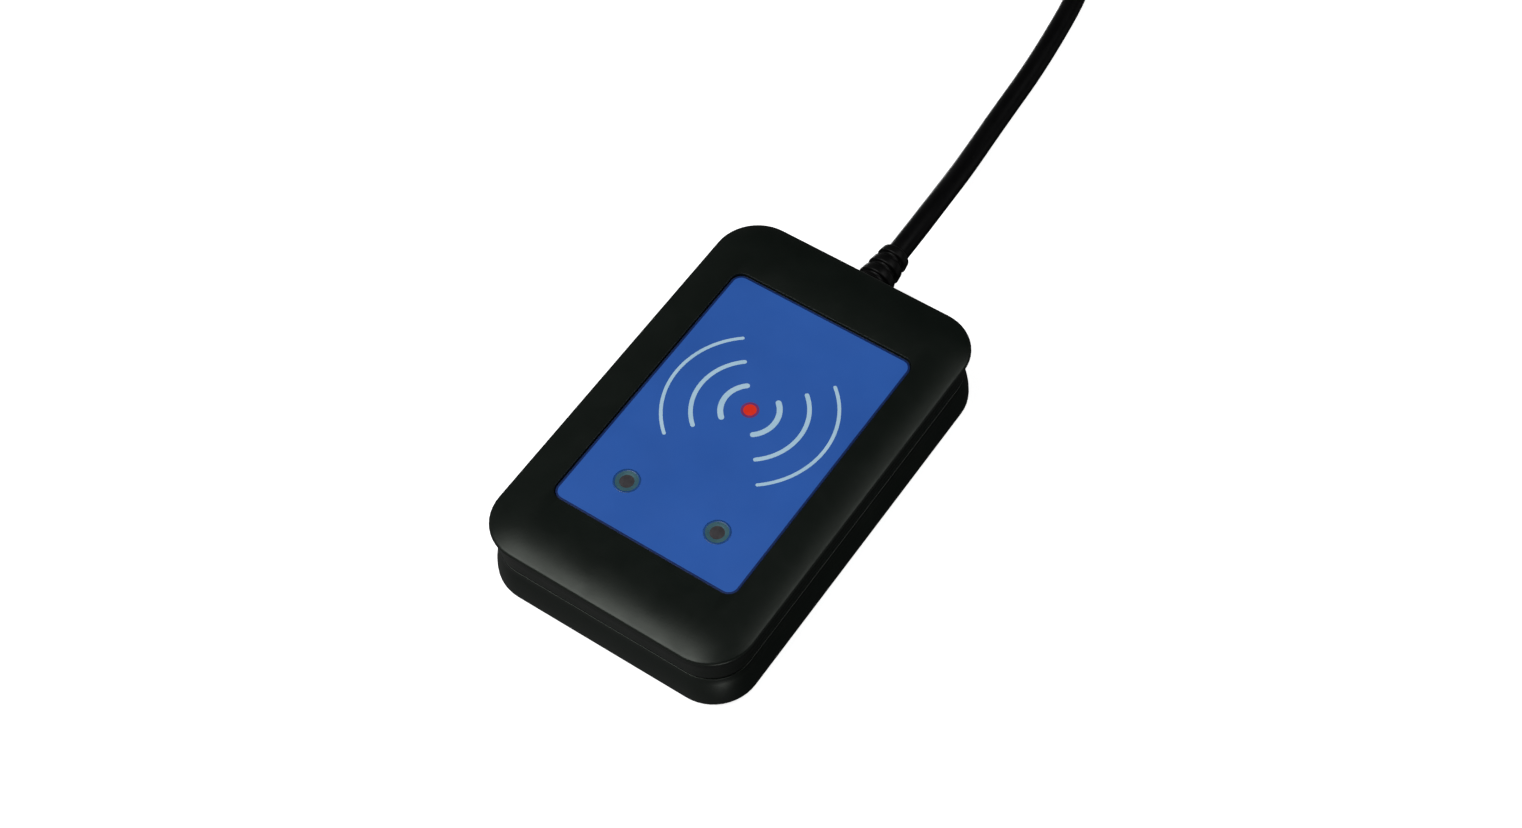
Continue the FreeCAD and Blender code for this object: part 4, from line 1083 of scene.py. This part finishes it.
def make_camera():
    """The camera stands to the right of the front, looking down, and is rolled a little."""
    turn = Matrix.Rotation(math.radians(CAMERA_AZIMUTH), 4, "Z")
    turn @= Matrix.Rotation(math.radians(90 - CAMERA_ELEVATION), 4, "X")
    turn @= Matrix.Rotation(math.radians(CAMERA_ROLL), 4, "Z")
    data = bpy.data.cameras.new("camera")
    data.sensor_width = 36.0
    data.lens = CAMERA_LENS
    data.clip_start = 0.01
    data.clip_end = 20.0
    camera = bpy.data.objects.new("camera", data)
    camera.matrix_world = Matrix.Translation(CAMERA_PLACE) @ turn
    bpy.context.scene.collection.objects.link(camera)
    bpy.context.scene.camera = camera


BACKDROP = 0.86     # brightness of the floor and of the room where the camera sees them


def make_floor():
    """A pale floor that only the camera sees, so it neither shades nor lights the reader."""
    bm = bmesh.new()
    bmesh.ops.create_grid(bm, x_segments=8, y_segments=8, size=6.0)
    floor = loose_object("floor", bm)
    look, shader, add = new_look("pale_floor")
    drift = add("TexNoise", "Fac", {"Scale": 3.0, "Vector": add("TexCoord", "Object")})
    colour = two_colours(add, drift, same(0.86), same(0.90))
    set_inputs(shader, {"Base Color": colour, "Roughness": 0.9})
    set_inputs(shader, {"Emission Color": (*same(1.0), 1), "Emission Strength": BACKDROP})
    # Seen from below, the floor lets the underside show.
    below = add("NewGeometry", "Backfacing")
    clear = add("BsdfTransparent", "BSDF")
    either = add("MixShader", "Shader", {"Fac": below, 1: shader.outputs["BSDF"], 2: clear})
    output = next(n for n in look.node_tree.nodes if n.type == "OUTPUT_MATERIAL")
    set_inputs(output, {"Surface": either})
    floor.data.materials.append(look)
    floor.visible_diffuse = False
    floor.visible_glossy = False
    floor.visible_shadow = False


def soft_light(name, size, power, place, target=(0.0, 0.02, 0.01)):
    """A round lamp of a given width in metres and power in watts, turned to the reader."""
    data = bpy.data.lights.new(name, "AREA")
    data.shape = "DISK"
    data.size = size
    data.energy = power
    light = bpy.data.objects.new(name, data)
    light.location = place
    way = Vector(target) - Vector(place)
    light.rotation_mode = "QUATERNION"
    light.rotation_quaternion = way.to_track_quat("-Z", "Y")
    light.visible_camera = False
    bpy.context.scene.collection.objects.link(light)


LIGHT_SIDE = (-0.51, -0.85, 0.11)       # the room is brightest this way
HORIZON = 0.22      # strength of the band of light round the room, from the horizon down


def make_light():
    """A large soft lamp above the front, in a room that is lighter to the front and the horizon.

    A fainter lamp stands at the back right, and two from below light the walls and underside.
    """
    soft_light("soft_top", 0.62, 4.4, (-0.24, -0.36, 0.74))
    soft_light("soft_back_right", 0.40, 0.75, (0.36, 0.30, 0.55))
    soft_light("soft_below_left", 0.50, 2.6, (-0.52, 0.47, -0.57))
    soft_light("soft_below_right", 0.45, 1.2, (0.66, -0.58, -0.24))
    world = bpy.data.worlds.new("room")
    bpy.context.scene.world = world
    world.use_nodes = True
    nodes, add = world.node_tree.nodes, node_adder(world.node_tree)
    room = nodes["Background"]
    way = add("TexCoord", "Generated")
    facing = add("VectorMath", "Value", {0: way, 1: LIGHT_SIDE}, operation="DOT_PRODUCT")
    ends = {"From Min": -0.6, "From Max": 0.8, "To Min": 0.015, "To Max": 0.14}
    ends["Value"] = facing
    fade = add("MapRange", "Result", ends, interpolation_type="SMOOTHSTEP")
    height = add("SeparateXYZ", "Z", {"Vector": way})
    height = add("MapRange", "Result", {"From Min": -1.0, "Value": height})
    band = two_colours(add, height, same(0.0), same(HORIZON), (0.26, 0.40))
    band.node.color_ramp.interpolation = "EASE"
    for position, strength in ((0.50, HORIZON), (0.58, 0.0)):
        band.node.color_ramp.elements.new(position).color = (*same(strength), 1)
    whole = add("Math", "Value", {0: fade, 1: band}, operation="ADD")
    set_inputs(room, {"Color": (*same(1.0), 1), "Strength": whole})
    # The room itself shows as a pale backdrop.
    pale = {"Color": (*same(1.0), 1), "Strength": BACKDROP}
    backdrop = add("Background", "Background", pale)
    seen = add("LightPath", "Is Camera Ray")
    either = {"Fac": seen, 1: room.outputs["Background"], 2: backdrop}
    set_inputs(nodes["World Output"], {"Surface": add("MixShader", "Shader", either)})
    bpy.context.scene.view_settings.view_transform = "Standard"


# ---- build

make_top_cover()
make_bottom_cover()
make_label()
make_print()
make_windows()
make_feet()
make_plate()
make_screws()
lead_pieces = [make_strain_relief(), make_tie()] + make_plug()
make_lead()
dress_inside()
make_camera()
make_floor()
make_light()
